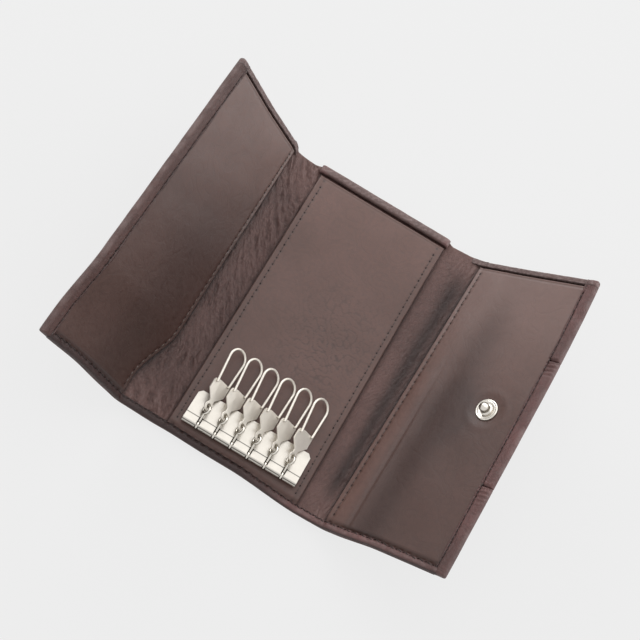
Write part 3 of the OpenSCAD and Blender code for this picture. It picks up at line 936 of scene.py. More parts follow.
def roll_top(leaf):
    """Top of the roll along the bottom edge: crowned, and pinched at its stitches.

    It is low on the spine, over the lining, and higher over the panels.
    """

    def height(x, y):
        size = sizes()
        s, inside = np.abs(x) / mm, y + HALF
        fold = abs(fold_at(leaf)) / mm
        level = steps(s, 2.45, (24.2, 26, -0.45), (fold - 0.5, fold + 2.5, 0.75)) * mm
        crown = 0.16 * mm * np.sin(math.pi * np.clip(inside / size.bottom_hem, 0, 1))
        pinch = (0.12 + 0.38 * stitch_pull(x)) * mm * dip(inside, size.bottom_hem - 0.45 * mm, 0.55 * mm)
        return level + crown - pinch + 0.07 * mm * waves(x, y, 5 * mm, salt=52)

    return height


def roll_marks(x, y, d):
    """Marks of the bottom roll: painted shade at its lip and its rim, and darker from the middle leftwards, a
    painted shade that takes in the key bar's shadow.
    """
    inside = y + HALF
    lip = dip(inside, sizes().bottom_hem, 0.45 * mm) * (0.45 + 0.55 * stitch_pull(x))
    rubbed = dip(inside, 1.1 * mm, 0.7 * mm) * (0.32 + 0.2 * waves(x, y, 4 * mm, salt=13))
    # Painted shade, darker from the middle leftwards, taking in the key bar's shadow.
    shade_leftwards = 0.95 * ramp(-x, -30 * mm, 0)
    soil = np.maximum(np.maximum(lip, dip(inside, 0, 0.35 * mm)), shade_leftwards)
    return {"turned": 1 + 0 * x, "worn": rubbed * (1 - shade_leftwards), "soil": soil}


def top_roll_height(x, y):
    """Top of the raised roll above the centre panel."""
    return LINING_TOP + 1.8 * mm + 0.1 * mm * waves(x, y, 6 * mm, salt=54)


def top_roll_marks(x, y, d):
    """Speckled wear and a painted highlight along the crown, painted shade at its foot, and red leather at
    the two turned ends.
    """
    ends = ramp(np.abs(x), 22.5 * mm, 24.5 * mm)
    # Lighter along the crown: speckled wear with a painted highlight.
    rubbed = 0.6 + 0.6 * ramp(waves(x, y, 1.3 * mm, salt=14), -0.3, 1.0)
    rubbed = rubbed * dip(HALF - y, 1.2 * mm, 1.3 * mm)
    # Painted shade along the line where the roll meets the panel.
    return {"turned": ends, "worn": rubbed, "soil": 0.6 * dip(HALF - y, TOP_ROLL, 0.3 * mm)}


def edge_marks(reach):
    """Marks of a piece with rubbed rims: worn exp(-(d / reach) ** 2) at the distance d inside."""

    def marks(x, y, d):
        uneven = 0.6 + 0.4 * waves(x, y, 7 * mm, salt=11)
        return {"worn": 0.5 * dip(d, 0, reach) * uneven, "soil": 0 * d, "turned": 0 * d}

    return marks


def strip_marks(x, y, d):
    """Painted shade in the creases, beside the panels' edges, at the flap's fold and in broad bands along the
    strips; the ridges are lighter, part rubbed wear and part painted highlight.
    """
    relief = strip_relief(x, y)
    left = x < 0
    fold = nearest_fold(x)
    away = np.abs(x) - CENTRE_HALF
    # Painted shade in the creases, beside the panel's edge and at the flap's fold.
    soil = 0.34 * ramp(-relief, -0.1, 0.7) + 0.6 * dip(away, 0, 0.7 * mm)
    soil = soil + 0.9 * dip(np.abs(x), fold, 0.9 * mm)
    # Broad painted shade, fading out towards the ends: low on the left strip and beside its fold, and in the
    # trough beside the right flap's seam.
    broad_darkening = ramp(HALF - np.abs(y), 3 * mm, 18 * mm)
    beside_left = 0.30 * ramp(-y, -48 * mm, -34 * mm) + 0.45 * dip(np.abs(x), fold, 3.6 * mm)
    beside_right = 0.14 + 0.95 * dip(away, 9.4 * mm, 3.0 * mm)
    soil = soil + broad_darkening * np.where(left, beside_left, beside_right)
    # The ridges are lighter: rubbed wear with a painted highlight.
    return {"worn": 0.26 * ramp(relief, 0.0, 0.9) * (1 - np.clip(soil, 0, 1)), "soil": soil, "turned": 0 * x}


def tucked(y):
    """How deep a panel's lower end dips to pass under the roll."""
    return 0.75 * mm * ramp(-y, HALF - sizes().bottom_hem - 1.3 * mm, HALF - sizes().bottom_hem + 0.1 * mm)


def mouth_bead(top_in):
    """Groove that sets off the folded edge of a pocket's mouth as a bead."""
    return 0.22 * mm * dip(top_in, 0.85 * mm, 0.22 * mm)


def cracking(x, y):
    """Fine cracks in the worn middle of the centre panel, along the zeros of a wave field."""
    worn_place = dip(np.hypot(x - 7 * mm, 0.8 * (y + 2 * mm)), 0, 19 * mm)
    return dip(waves(x, y, 3.6 * mm, salt=44), 0, 0.24) * worn_place


def centre_height(x, y):
    """Top of the centre panel: slow swells, its stitched grooves and the mouth's bead."""
    edge, top_in = CENTRE_HALF - np.abs(x), CENTRE_END - y
    swell = 0.05 * waves(x, y, 26 * mm, salt=20) + 0.006 * waves(x, y, 6 * mm, salt=21)
    swell = swell - 0.04 * cracking(x, y)
    groove = (0.05 + 0.10 * stitch_pull(y)) * mm * dip(edge, sizes().stitch_inset, 0.4 * mm)
    return CENTRE_TOP + mm * swell * ramp(edge, 0, 6 * mm) - groove - mouth_bead(top_in) - tucked(y)


def panel_end():
    """How far along the flap panels reach towards the pocket mouths."""
    return HALF - sizes().top_hem - 0.55 * mm


def creased_line(past, y):
    """1 along the crease that the right flap's panel has beside its fold."""
    return dip(past, 8.6 * mm, 0.6 * mm) * ramp(-y, -24 * mm, 24 * mm)


def flap_height(leaf):
    """Top of a flap's panel: swells, the stitched groove beside the fold and the mouth's bead.

    The right one has a soft valley along the snap and a dished ring round it.
    """

    def height(x, y):
        size, past = sizes(), past_fold(leaf, x)
        swell = 0.05 * mm * waves(x, y, 24 * mm, salt=30 + leaf["side"])
        swell = swell + 0.006 * mm * waves(x, y, 7 * mm, salt=33)
        if leaf["side"] > 0:
            middle = 13.5 * mm + 0.03 * y + 0.8 * mm * waves(0 * x, y, 60 * mm, salt=36)
            swell = swell - 0.42 * mm * dip(past, middle, 5.5 * mm) * ramp(36 * mm - y, 0, 30 * mm)
            swell = swell - 0.2 * mm * creased_line(past, y)
            swell = swell + 0.12 * mm * dip(past, middle - 6.5 * mm, 3.5 * mm)
            ring = np.hypot(past - past_fold(leaf, snap_place(leaf)), y - SNAP_Y)
            swell = swell - 0.35 * mm * dip(ring, 0, 5.5 * mm) + 0.10 * mm * dip(ring, 6.5 * mm, 1.5 * mm)
        inset = seam_inset(leaf)
        groove = (0.05 + 0.10 * stitch_pull(y)) * mm * dip(past, inset, 0.4 * mm)
        top_in = panel_end() - y
        calm = ramp(past, 1 * mm, 5 * mm) * ramp(top_in, 0, 5 * mm)
        return size.flap_top + swell * calm - groove - mouth_bead(top_in) - tucked(y)

    return height


def seam_inset(leaf):
    """Distance from a flap panel's fold to the stitches that hold it there."""
    return 1.9 * mm if leaf["side"] < 0 else sizes().stitch_inset + 0.2 * mm


def snap_place(leaf):
    """Across distance, with its sign, of the snap's half on a flap, from the frame's own node."""
    low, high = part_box("snap_socket" if leaf["side"] < 0 else "snap_stud")
    middle = (np.array(low) + np.array(high)) / 2 - leaf["second"]
    tilt = leaf["spine_angle"] + leaf["flap_angle"]
    past = leaf["side"] * middle[0] * math.cos(tilt) + middle[2] * math.sin(tilt)
    return across_of(leaf, past)


def wear_of_panel(leaf, x, y, past):
    """Broad shares of painted highlight towards the top and of darkening, for the centre or for one flap:
    painted shade, and on the centre also its cracks.
    """
    at_top = ramp(y, 25 * mm, 52 * mm)
    # Centre: painted shade, darker towards the bottom and along its edges, and darker cracks.
    if leaf is None:
        edge = 1 - ramp(past, 1.8 * mm, 2.4 * mm)
        soil = 0.12 * ramp(-y, -48 * mm, -20 * mm) + 0.12 * ramp(-y, 8 * mm, 42 * mm)
        return 0.10 * at_top, np.maximum(soil + 0.12 * edge, 0.75 * cracking(x, y))
    # Left flap: painted shade, darker towards the bottom and beside the fold.
    if leaf["side"] < 0:
        low = ramp(-y, -45 * mm, 0)
        middle = dip(past, 14 * mm, 12 * mm)
        near = dip(past, 0, 9 * mm) * ramp(-y, -44 * mm, -26 * mm)
        return 0.06 * at_top, low * (0.5 + 0.32 * middle) + 0.35 * near * (1 - 0.6 * low)
    # Right flap: painted shade in the valley, in the crease, towards the bottom and in a round patch in the
    # middle; painted highlight towards the top.
    blot = np.hypot(past - 23 * mm, 0.7 * (y + 3 * mm))
    valley = dip(past, 17 * mm + 0.03 * y, 6.5 * mm) * ramp(50 * mm - y, 0, 26 * mm)
    low = ramp(-y, -42 * mm, 14 * mm)
    soil = 0.46 * low * ramp(past, 5 * mm, 9 * mm) + 0.42 * valley + 0.5 * dip(blot, 0, 7 * mm)
    return 0.4 * ramp(y, 0, 46 * mm), np.maximum(np.minimum(soil, 0.85), 0.6 * creased_line(past, y))


def panel_marks(leaf=None):
    """Marks of a smooth panel: rubbed rims, a lighter bead of wear and painted highlight, painted shade in
    its stitch holes and grooves, and the broad tones of wear_of_panel.
    """

    def marks(x, y, d):
        if leaf is None:
            past, inset, top_in = CENTRE_HALF - np.abs(x), sizes().stitch_inset, CENTRE_END - y
        else:
            past, inset, top_in = past_fold(leaf, x), seam_inset(leaf), panel_end() - y
        uneven = 0.6 + 0.4 * waves(x, y, 9 * mm, salt=40)
        # The mouth's bead is lighter: wear with a painted highlight.
        bead = 0.8 * dip(top_in, 0.35 * mm, 0.25 * mm)
        # Painted shade in the stitch holes and in the groove behind the bead.
        holes = dip(past, inset, 0.54 * mm) * stitch_pull(y) ** 2.6
        soil = np.maximum(holes, 0.9 * dip(top_in, 0.9 * mm, 0.16 * mm))
        painted_highlight, broad_darkening = wear_of_panel(leaf, x, y, past)
        worn = 0.5 * np.maximum(dip(d, 0, 0.35 * mm) * uneven, bead)
        return {"worn": np.maximum(worn, painted_highlight), "soil": np.maximum(soil, broad_darkening), "turned": 0 * d}

    return marks


# Pieces


def flat(level):
    """A height that is the same everywhere."""
    return lambda x, y: level + 0 * x


def coat(name, material):
    """Gives a frame part its one material."""
    data = frame["nodes"][name].data
    data.materials.clear()
    data.materials.append(material)


def make_covers():
    """Outer leather: two pieces that meet in the middle, the spines' outer halves and the flaps."""
    size, material = sizes(), outer_leather()
    step = 2.4 * size.grid
    bottom = (-HALF, -HALF + 8 * mm, size.grid)
    fine_top = (HALF - size.top_hem - 0.6 * mm, HALF, 0.5 * size.grid)
    band_low, band_high = band_ends()
    for leaf in (LEFT, RIGHT):
        word, side = leaf["word"], leaf["side"]
        middle, split, edge = halfway(leaf), across_of(leaf, 2.6 * mm), outer_edge(leaf)
        xs = lines(*sorted((0, middle)), step)
        ys = lines(-HALF, HALF, step, 0.4 * mm, [bottom])
        piece = slab(f"cover_{word}_inner", xs, ys, cover_high, cover_low, 0.4 * mm, bend_inner(leaf),
                     material, (0, middle), marks=edge_marks(0.4 * mm))
        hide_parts("cover_centre", f"cover_{word}_spine")
        xs = lines(*sorted((middle, split)), step)
        ys = lines(-HALF, HALF, step, 0.4 * mm, [bottom, fine_top])
        piece = slab(f"cover_{word}_outer", xs, ys, tray_top(leaf), cover_low, 0.4 * mm, bend_outer(leaf),
                     material, (middle, split), marks=tray_marks(leaf))
        parts, zones = [("flap", -HALF, HALF, (1, 1))], [bottom, fine_top]
        if side > 0:
            parts = [("flap_bottom", -HALF, band_low, (1, 0)), ("flap_band", band_low, band_high, (0, 0)),
                     ("flap_top", band_high, HALF, (0, 1))]
            zones += [(seam - 6 * mm, seam + 3 * mm, 0.6 * size.grid) for seam in (band_low, band_high)]
        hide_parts(f"cover_{word}_spine",
                    f"cover_{word}_flap" if side < 0 else "cover_right_flap_band")
        hem = sorted((edge, edge - side * (size.side_hem + 0.8 * mm)))
        xs = lines(*sorted((split, edge)), step, 0.9 * mm, [(*hem, 0.5 * size.grid)])
        for name, start, end, ends in parts:
            ys = lines(start, end, 1.2 * size.grid, 0.5 * mm, zones)
            piece = slab(f"cover_{word}_{name}_leather", xs, ys, tray_top(leaf), cover_low, 0.9 * mm,
                         word + "_flap", material, (split,), edge, ends, tray_marks(leaf))
            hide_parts(f"cover_{word}_{name}")


def make_lining():
    """Grained lining: it shows on the spines and runs on under the panels."""
    size, material = sizes(), grain_leather()
    under = flat(size.cover + 0.02 * mm)
    reach, step = HALF - 0.25 * mm, 0.6 * size.grid
    ys = lines(-reach, reach, 0.8 * size.grid, 0.3 * mm)
    for leaf in (LEFT, RIGHT):
        word, side, middle = leaf["word"], leaf["side"], halfway(leaf)
        hidden = sorted((0, side * (CENTRE_HALF - 1 * mm)))
        xs = lines(*sorted((0, middle)), step, 0, [(*hidden, 3 * mm)])
        piece = slab(f"lining_{word}_inner", xs, ys, lining_height, under, 0.3 * mm, bend_inner(leaf),
                     material, (0, middle), marks=strip_marks)
        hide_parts("lining_centre", f"lining_{word}_spine")
        end, far = across_of(leaf, 4 * mm), outer_edge(leaf) - side * 1.5 * mm
        piece = slab(f"lining_{word}_outer", lines(*sorted((middle, end)), step), ys, lining_height, under,
                     0.3 * mm, bend_outer(leaf), material, (middle, end), marks=strip_marks)
        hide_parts(f"lining_{word}_spine", f"lining_{word}_flap")
        sheet = slab(f"lining_{word}_sheet", lines(*sorted((end, far)), 3 * mm),
                     lines(-reach + 1 * mm, reach - 1 * mm, 3 * mm), lining_height, under, 0.2 * mm,
                     word + "_flap", material, (end,), marks=strip_marks)
        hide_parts(f"lining_{word}_flap")


def make_panels():
    """Smooth panels: the centre one, and one on each flap up to its side hem."""
    size, material = sizes(), smooth_leather()
    low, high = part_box("panel_centre")
    start = -HALF + size.bottom_hem - 0.9 * mm

    def underside(top):
        return lambda x, y: top - 0.75 * mm - tucked(y)

    xs, ys = lines(low.x, high.x, size.grid, 0.4 * mm), lines(start, high.y, size.grid, 0.4 * mm)
    centre = slab("panel_centre_leather", xs, ys, centre_height, underside(CENTRE_TOP), 0.4 * mm, "centre",
                  material, marks=panel_marks())
    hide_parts("panel_centre")
    ys = lines(start, panel_end(), size.grid, 0.4 * mm)
    for leaf in (LEFT, RIGHT):
        near, far = across_of(leaf, 0.3 * mm), outer_edge(leaf) - leaf["side"] * (size.side_hem - 0.7 * mm)
        xs = lines(*sorted((near, far)), size.grid, 0.4 * mm)
        piece = slab(f"panel_{leaf['word']}_leather", xs, ys, flap_height(leaf), underside(size.flap_top),
                     0.4 * mm, bend_outer(leaf), material, marks=panel_marks(leaf))
        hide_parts(f"panel_{leaf['word']}")


def make_boards():
    """Stiffening boards that follow the flaps, and the hidden board and foil of the centre."""
    grey = board_stuff("grey board", (0.45, 0.38, 0.28), 0.8)
    silver = board_stuff("shielding foil", (0.5, 0.5, 0.5), 0.4)
    for leaf in (LEFT, RIGHT):
        near, far = across_of(leaf, 2.8 * mm), outer_edge(leaf) - leaf["side"] * 6.5 * mm
        xs, ys = lines(*sorted((near, far)), 2 * mm), lines(-HALF + 6 * mm, HALF - 6 * mm, 2 * mm)
        board = slab(f"board_{leaf['word']}", xs, ys, flat(LINING_TOP + 0.4 * mm), flat(LINING_TOP), 0.1 * mm,
                     leaf["word"] + "_flap", grey)
        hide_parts(f"stiffener_{leaf['word']}")
    for name, material in (("stiffener_centre", grey), ("rfid_foil", silver)):
        coat(name, material)


def make_hems():
    """The stitched roll along the whole bottom edge, and the raised roll above the centre panel."""
    size, material = sizes(), outer_leather()
    base = flat(size.cover + 0.12 * mm)
    ys = lines(-HALF, -HALF + size.bottom_hem, 0.6 * size.grid, 0.8 * mm)
    for leaf in (LEFT, RIGHT):
        word, middle = leaf["word"], halfway(leaf)
        far = outer_edge(leaf) - leaf["side"] * (size.side_hem - 1.5 * mm)
        halves = (("inner", 0, middle, bend_inner(leaf), (0, middle)),
                  ("outer", middle, far, bend_outer(leaf), (middle,)))
        for name, near, end, body, butts in halves:
            xs = lines(*sorted((near, end)), 0.8 * size.grid)
            roll = slab(f"bottom_roll_{word}_{name}", xs, ys, roll_top(leaf), base, 0.75 * mm, body, material,
                        butts, marks=roll_marks)
    xs = lines(-26.2 * mm, 26 * mm, 0.8 * size.grid, 1.1 * mm)
    ys = lines(HALF - TOP_ROLL, HALF, 0.5 * size.grid, 0.8 * mm)
    roll = slab("top_roll", xs, ys, top_roll_height, base, 0.9 * mm, "centre", material, marks=top_roll_marks)


def rods_along(xs, ys, height, run, t, rise):
    """Centres and axes, across and up, of rods through the points (xs, ys) on the leather.

    A rod goes from -run / 2 to run / 2 as t goes from -1 to 1, and rise is its height at each t.
    """
    dx, dy = run
    x = xs[:, None] + dx * t / 2
    y = ys[:, None] + dy * t / 2
    h = height(x, y) + rise
    centres = lay(x, y, h)
    ahead = lay(x + dx * 0.01, y + dy * 0.01, h) - centres
    up = unit(lay(x, y, h + 0.1 * mm) - centres)
    return centres, unit(np.cross(ahead, up)), up


def sew(name, xs, ys, height, body, material, run, thick, sink):
    """A row of stitches: each is an arched rod that dips at both ends.

    At t from -1 to 1 along a stitch its radius is r (1 - t ** 4) ** 0.5 and its rise is
    r (1 - t ** 2 - sink), for the thread's radius r.
    """
    t = np.linspace(-1, 1, 9)
    radius = sizes().thread * thick
    axes = rods_along(xs, ys, height, run, t, radius * (1 - t**2 - sink))
    swell = np.sqrt(np.clip(1 - t**4, 0, 1)) * radius
    tubes(name, *axes, swell, swell, body, material)


def pierce(name, xs, ys, height, body, run, wide):
    """Needle holes: flat dark lens shapes that lie in the leather between the stitches, painted shade for the
    holes' shadowed insides.
    """
    t = np.linspace(-1, 1, 7)
    axes = rods_along(xs, ys, height, run, t, -0.01 * mm)
    swell = np.sqrt(np.clip(1 - t**2, 0, 1))
    tubes(name, *axes, swell * wide, swell * 0.05 * mm, body, needle_hole(), 10)


def make_stitching():
    """Rows of stitches and needle holes along the panels, the seams and the hems."""
    size, tints = sizes(), colours()
    pitch = size.stitch_pitch
    plain, dark = thread("brown thread", tints.thread), thread("dark thread", tints.hem_thread)
    light = thread("light thread", tints.light_thread)
    draw = np.random.default_rng(size.seed)
    low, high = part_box("panel_centre")

    def rows(name, x, start, end, height, body, material, thick, sink, holes=1.0, stitch=0.62):
        """One row: a hole where every stitch dips, and a thread from each hole to the next."""
        at = np.arange(math.ceil(start / pitch), math.floor(end / pitch) + 1) * pitch
        across = x + 0.07 * mm * draw.standard_normal(at.size)
        sew(f"{name}_stitches", across[:-1], at[:-1] + pitch / 2, height, body, material,
            (0, stitch * pitch), thick, sink)
        pierce(f"{name}_holes", across, at, height, body, (0.14 * mm, 0.95 * mm * holes), 0.4 * mm * holes)

    for side, word in ((-1, "left"), (1, "right")):
        rows(f"centre_{word}", side * (CENTRE_HALF - size.stitch_inset), low.y - 1 * mm, high.y - 1.5 * mm,
             centre_height, "centre", plain, 0.9, 1.0)
    for leaf in (LEFT, RIGHT):
        word, side = leaf["word"], leaf["side"]
        look = (light, 1.15, 0.4, 1.15, 0.4) if side < 0 else (plain, 0.9, 1.0, 1.0, 0.62)
        rows(f"seam_{word}", across_of(leaf, seam_inset(leaf)), -HALF + 3.6 * mm, panel_end() - 1.5 * mm,
             flap_height(leaf), bend_outer(leaf), *look)
        hem_row = outer_edge(leaf) - side * (size.side_hem - SIDE_ROW)
        rows(f"side_{word}", hem_row, -HALF + 1.2 * mm, HALF - 4 * mm, tray_top(leaf), word + "_flap", dark,
             1.0, 0.5, 1.1)
        middle, far, height = halfway(leaf), outer_edge(leaf) - side * size.side_hem, roll_top(leaf)
        halves = (("inner", 0, middle, bend_inner(leaf)), ("outer", middle, far, bend_outer(leaf)))
        for name, near, end, body in halves:
            first, last = sorted((near, end))
            at = np.arange(math.ceil(first / pitch), math.ceil(last / pitch)) * pitch
            line = -HALF + size.bottom_hem - BOTTOM_ROW + 0.08 * mm * draw.standard_normal(at.size)
            sew(f"bottom_{word}_{name}_stitches", at + 0.5 * pitch, line, height, body, dark,
                (0.6 * pitch, -0.5 * mm), 1.0, 0.6)
            pierce(f"bottom_{word}_{name}_holes", at, line, height, body, (0.9 * mm, 0.5 * mm), 0.28 * mm)


def turned_part(name, outline_points, x, y, level, lean, body):
    """A turned metal part: an outline (radius, height) spun round the leather's normal at x, y.

    lean shears it sideways with its height. The first and the last point lie on the axis.
    """
    radius, up = (np.array(outline_points) * mm).T
    count = 48
    turn = np.linspace(0, 2 * math.pi, count, endpoint=False)
    centre = lay(x, y, level)
    normal = unit(lay(x, y, level + mm) - centre)
    along = unit(lay(x, y + 0.1 * mm, level) - centre)
    across = np.cross(along, normal)
    ring = np.cos(turn)[:, None] * across + np.sin(turn)[:, None] * along
    spin = centre + radius[1:-1, None, None] * ring + up[1:-1, None, None] * normal
    spin = spin + (np.clip(up[1:-1], 0, None) * lean)[:, None, None] * across
    poles = [centre + up[i] * normal + max(up[i], 0) * lean * across for i in (0, -1)]
    index = 2 + np.arange((len(radius) - 2) * count).reshape(-1, count)
    after = np.roll(index, -1, 1)
    faces = np.stack([index[:-1], index[1:], after[1:], after[:-1]], -1).reshape(-1, 4).tolist()
    faces += np.stack([np.zeros(count, int), index[0], after[0]], -1).tolist()
    faces += np.stack([np.ones(count, int), after[-1], index[-1]], -1).tolist()
    obj = add_object(name, np.concatenate([poles, spin.reshape(-1, 3)]), faces, body, nickel())
    return obj


def make_snap():
    """The snap: its stud on the right flap's panel and its socket on the left flap's outer face."""
    post = [(0, 3.05), (0.55, 3.0), (1.05, 2.82), (1.45, 2.5), (1.68, 2.1), (1.68, 1.75), (1.5, 1.35),
            (1.38, 0.9), (1.45, 0.55)]
    rings = [(1.7, 0.30), (2.1, 0.24), (2.6, 0.34), (3.0, 0.46), (3.12, 0.40), (3.22, 0.40), (3.34, 0.50)]
    rim = [(3.6, 0.50), (3.82, 0.38), (3.9, 0.15), (3.86, -0.1), (3.2, -0.25), (0, -0.25)]
    level, lean = sizes().flap_top - 0.16 * mm, -0.16
    piece = turned_part("snap_stud_turned", post + rings + rim, snap_place(RIGHT), SNAP_Y, level, lean,
                        "right_flap")
    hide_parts("snap_stud")
    barrel = [(0, 1.7), (2.5, 1.7), (2.55, 1.6), (2.55, 0.06)]
    flange = [(4.5, 0.06), (4.66, 0), (4.7, -0.15), (4.62, -0.36), (4.35, -0.53), (3.95, -0.6), (3.6, -0.58),
              (3.35, -0.48), (3.1, -0.48), (2.85, -0.58), (2.5, -0.6), (2.25, -0.55), (2.1, -0.4)]
    bore = [(2.05, -0.1), (2.05, 0.3), (2.2, 0.4), (2.2, 0.6), (2.05, 0.7), (2.05, 1.35), (1.95, 1.4),
            (0, 1.4)]
    piece = turned_part("snap_socket_turned", barrel + flange + bore, snap_place(LEFT), SNAP_Y, 0, 0,
                        "left_flap")
    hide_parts("snap_socket")


def plated(name, width, material):
    """A frame part of sheet metal with its doubles merged and its edges softened by a bevel."""
    source = frame["nodes"][name]
    mesh = source.data.copy()
    work = bmesh.new()
    work.from_mesh(mesh)
    bmesh.ops.remove_doubles(work, verts=work.verts, dist=1e-6)
    bmesh.ops.dissolve_limit(work, angle_limit=math.radians(1), verts=work.verts, edges=work.edges)
    work.to_mesh(mesh)
    work.free()
    mesh.materials.clear()
    mesh.materials.append(material)
    mesh.polygons.foreach_set("use_smooth", np.ones(len(mesh.polygons), bool))
    obj = bpy.data.objects.new(f"{name}_plated", mesh)
    bpy.context.scene.collection.objects.link(obj)
    bevel = obj.modifiers.new("softened edges", "BEVEL")
    bevel.width, bevel.segments, bevel.limit_method = width, 2, "ANGLE"
    bevel.angle_limit = math.radians(30)
    shading = obj.modifiers.new("flat faces", "WEIGHTED_NORMAL")
    shading.weight, shading.keep_sharp = 80, False
    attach(obj, source["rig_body"])
    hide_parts(name)


def make_metal():
    """Key bar, hooks, links and loops: plated metal, its sheet parts with softened edges."""
    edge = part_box("key_bar")[0].y
    # The bar's two lines, 3.7 and 0.6 mm above its lower edge, are painted dark: shade at the barrel's fold
    # and a reflection along its lower side.
    bar = nickel("nickel bar", 0.30, 0.0, 1.0, 0.62, (edge + 3.7 * mm, edge + 0.6 * mm))
    satin, wire = nickel("satin nickel", 0.42, 0.4, 0.5, 1.1), nickel("satin wire", 0.5, 0.5, 0.5, 1.1)
    plated("key_bar", 0.08 * mm, bar)
    for name in ("key_bar_pin", "key_bar_backing", "snap_socket_washer", "snap_stud_washer"):
        coat(name, nickel())
    for i in range(1, 7):
        plated(f"hook_{i}", 0.07 * mm, satin)
        coat(f"link_{i}", nickel())
        coat(f"loop_{i}", wire)


def make_floor():
    """Pale floor, which keeps the shadow and looks as pale as the photograph's ground."""
    material, tree, shader = new_material("pale floor")
    shader.inputs["Base Color"].default_value = tone(colours().floor)
    shader.inputs["Roughness"].default_value = 0.9
    shader.inputs["Specular IOR Level"].default_value = 0.1
    glow = node(tree, "ShaderNodeEmission", {"Color": (0.855, 0.855, 0.855, 1)})
    seen = node(tree, "ShaderNodeLightPath").outputs["Is Camera Ray"]
    values = {0: maths(tree, "MULTIPLY", seen, 0.9), 1: shader.outputs[0], 2: glow.outputs[0]}
    blend = node(tree, "ShaderNodeMixShader", values)
    tree.links.new(blend.outputs[0], tree.nodes["Material Output"].inputs["Surface"])
    reach, down = 3.0, -0.4 * mm
    corners = [(-reach, -reach, down), (reach, -reach, down), (reach, reach, down), (-reach, reach, down)]
    mesh = bpy.data.meshes.new("floor")
    mesh.from_pydata(corners, [], [(0, 1, 2, 3)])
    mesh.materials.append(material)
    floor = bpy.data.objects.new("floor", mesh)
    bpy.context.scene.collection.objects.link(floor)


def make_world():
    """Even studio light, brighter where the camera and the metal see it."""
    world = bpy.data.worlds.new("studio")
    bpy.context.scene.world = world
    world.use_nodes = True
    tree = world.node_tree
    back = tree.nodes["Background"]
    back.inputs["Color"].default_value = (1, 1, 1, 1)
    path = node(tree, "ShaderNodeLightPath")
    seen = maths(tree, "MAXIMUM", path.outputs["Is Camera Ray"], path.outputs["Is Glossy Ray"])
    tree.links.new(spread(tree, seen, 0.0, 1.0, *WORLD_STRENGTHS), back.inputs["Strength"])


def make_stage():
    """Floor, soft studio light and the camera at the photograph's place."""
    scene = bpy.context.scene
    scene.view_settings.view_transform = "Standard"
    make_floor()
    make_world()
    for name, place, wide, power in LAMPS:
        light = bpy.data.lights.new(name, "AREA")
        light.shape, light.size, light.energy = "SQUARE", wide, power
        lamp = bpy.data.objects.new(name, light)
        lamp.location = place
        lamp.rotation_euler = (-Vector(place)).to_track_quat("-Z", "Y").to_euler()
        scene.collection.objects.link(lamp)
    camera = bpy.data.cameras.new("photograph")
    camera.lens, camera.sensor_width = CAMERA_LENS, CAMERA_SENSOR
    view = bpy.data.objects.new("photograph", camera)
    scene.collection.objects.link(view)
    view.location = CAMERA_PLACE
    view.rotation_mode = "QUATERNION"
    towards = (CAMERA_AIM - CAMERA_PLACE).to_track_quat("-Z", "Y")
    view.rotation_quaternion = towards @ Quaternion((0, 0, 1), CAMERA_ROLL)
    scene.camera = view


# The add-on


class KEY_CASE_OT_covers(bpy.types.Operator):
    """Makes the outer leather"""

    bl_idname = "key_case.covers"
    bl_label = "Outer leather"

    def execute(self, context):
        make_covers()
        return {"FINISHED"}


class KEY_CASE_OT_lining(bpy.types.Operator):
    """Makes the grained lining"""

    bl_idname = "key_case.lining"
    bl_label = "Lining"

    def execute(self, context):
        make_lining()
        return {"FINISHED"}


class KEY_CASE_OT_panels(bpy.types.Operator):
    """Makes the smooth panels"""

    bl_idname = "key_case.panels"
    bl_label = "Panels"

    def execute(self, context):
        make_panels()
        return {"FINISHED"}


class KEY_CASE_OT_boards(bpy.types.Operator):
    """Makes the stiffening boards"""

    bl_idname = "key_case.boards"
    bl_label = "Boards"

    def execute(self, context):
        make_boards()
        return {"FINISHED"}


class KEY_CASE_OT_hems(bpy.types.Operator):
    """Makes the rolls along the ends"""

    bl_idname = "key_case.hems"
    bl_label = "Rolled hems"

    def execute(self, context):
        make_hems()
        return {"FINISHED"}


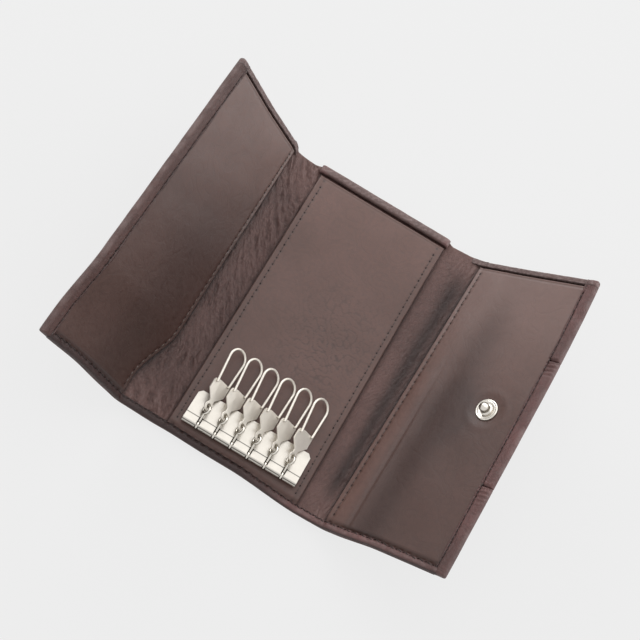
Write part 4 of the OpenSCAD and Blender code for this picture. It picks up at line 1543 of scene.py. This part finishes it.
class KEY_CASE_OT_stitching(bpy.types.Operator):
    """Makes the stitches and needle holes"""

    bl_idname = "key_case.stitching"
    bl_label = "Stitching"

    def execute(self, context):
        make_stitching()
        return {"FINISHED"}


class KEY_CASE_OT_metal(bpy.types.Operator):
    """Dresses the key bar, hooks, links and loops"""

    bl_idname = "key_case.metal"
    bl_label = "Key bar and hooks"

    def execute(self, context):
        make_metal()
        return {"FINISHED"}


class KEY_CASE_OT_snap(bpy.types.Operator):
    """Makes the snap"""

    bl_idname = "key_case.snap"
    bl_label = "Snap"

    def execute(self, context):
        make_snap()
        return {"FINISHED"}


class KEY_CASE_OT_stage(bpy.types.Operator):
    """Makes the floor, the lights and the camera"""

    bl_idname = "key_case.stage"
    bl_label = "Stage"

    def execute(self, context):
        make_stage()
        return {"FINISHED"}


OPERATORS = [
    KEY_CASE_OT_covers, KEY_CASE_OT_lining, KEY_CASE_OT_panels, KEY_CASE_OT_boards, KEY_CASE_OT_hems,
    KEY_CASE_OT_stitching, KEY_CASE_OT_metal, KEY_CASE_OT_snap, KEY_CASE_OT_stage,
]


class KEY_CASE_PT_panel(bpy.types.Panel):
    """Lists the sizes, the colours and the pieces"""

    bl_label = "Key case"
    bl_space_type = "VIEW_3D"
    bl_region_type = "UI"
    bl_category = "Key case"

    def draw(self, context):
        for group in (context.scene.case_sizes, context.scene.case_colours):
            for name in group.__annotations__:
                self.layout.prop(group, name)
        for made in OPERATORS:
            self.layout.operator(made.bl_idname)


CLASSES = [CaseSizes, CaseColours, *OPERATORS, KEY_CASE_PT_panel]


def register():
    """Adds the add-on's classes, and its sizes and colours to the scene."""
    for made in CLASSES:
        bpy.utils.register_class(made)
    bpy.types.Scene.case_sizes = PointerProperty(type=CaseSizes)
    bpy.types.Scene.case_colours = PointerProperty(type=CaseColours)


def unregister():
    """Takes away what register added."""
    del bpy.types.Scene.case_colours
    del bpy.types.Scene.case_sizes
    for made in reversed(CLASSES):
        bpy.utils.unregister_class(made)


def main():
    """Makes every piece in order."""
    register()
    for made in OPERATORS:
        getattr(bpy.ops.key_case, made.bl_idname.split(".")[1])()
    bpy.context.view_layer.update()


if __name__ == "__main__":
    main()
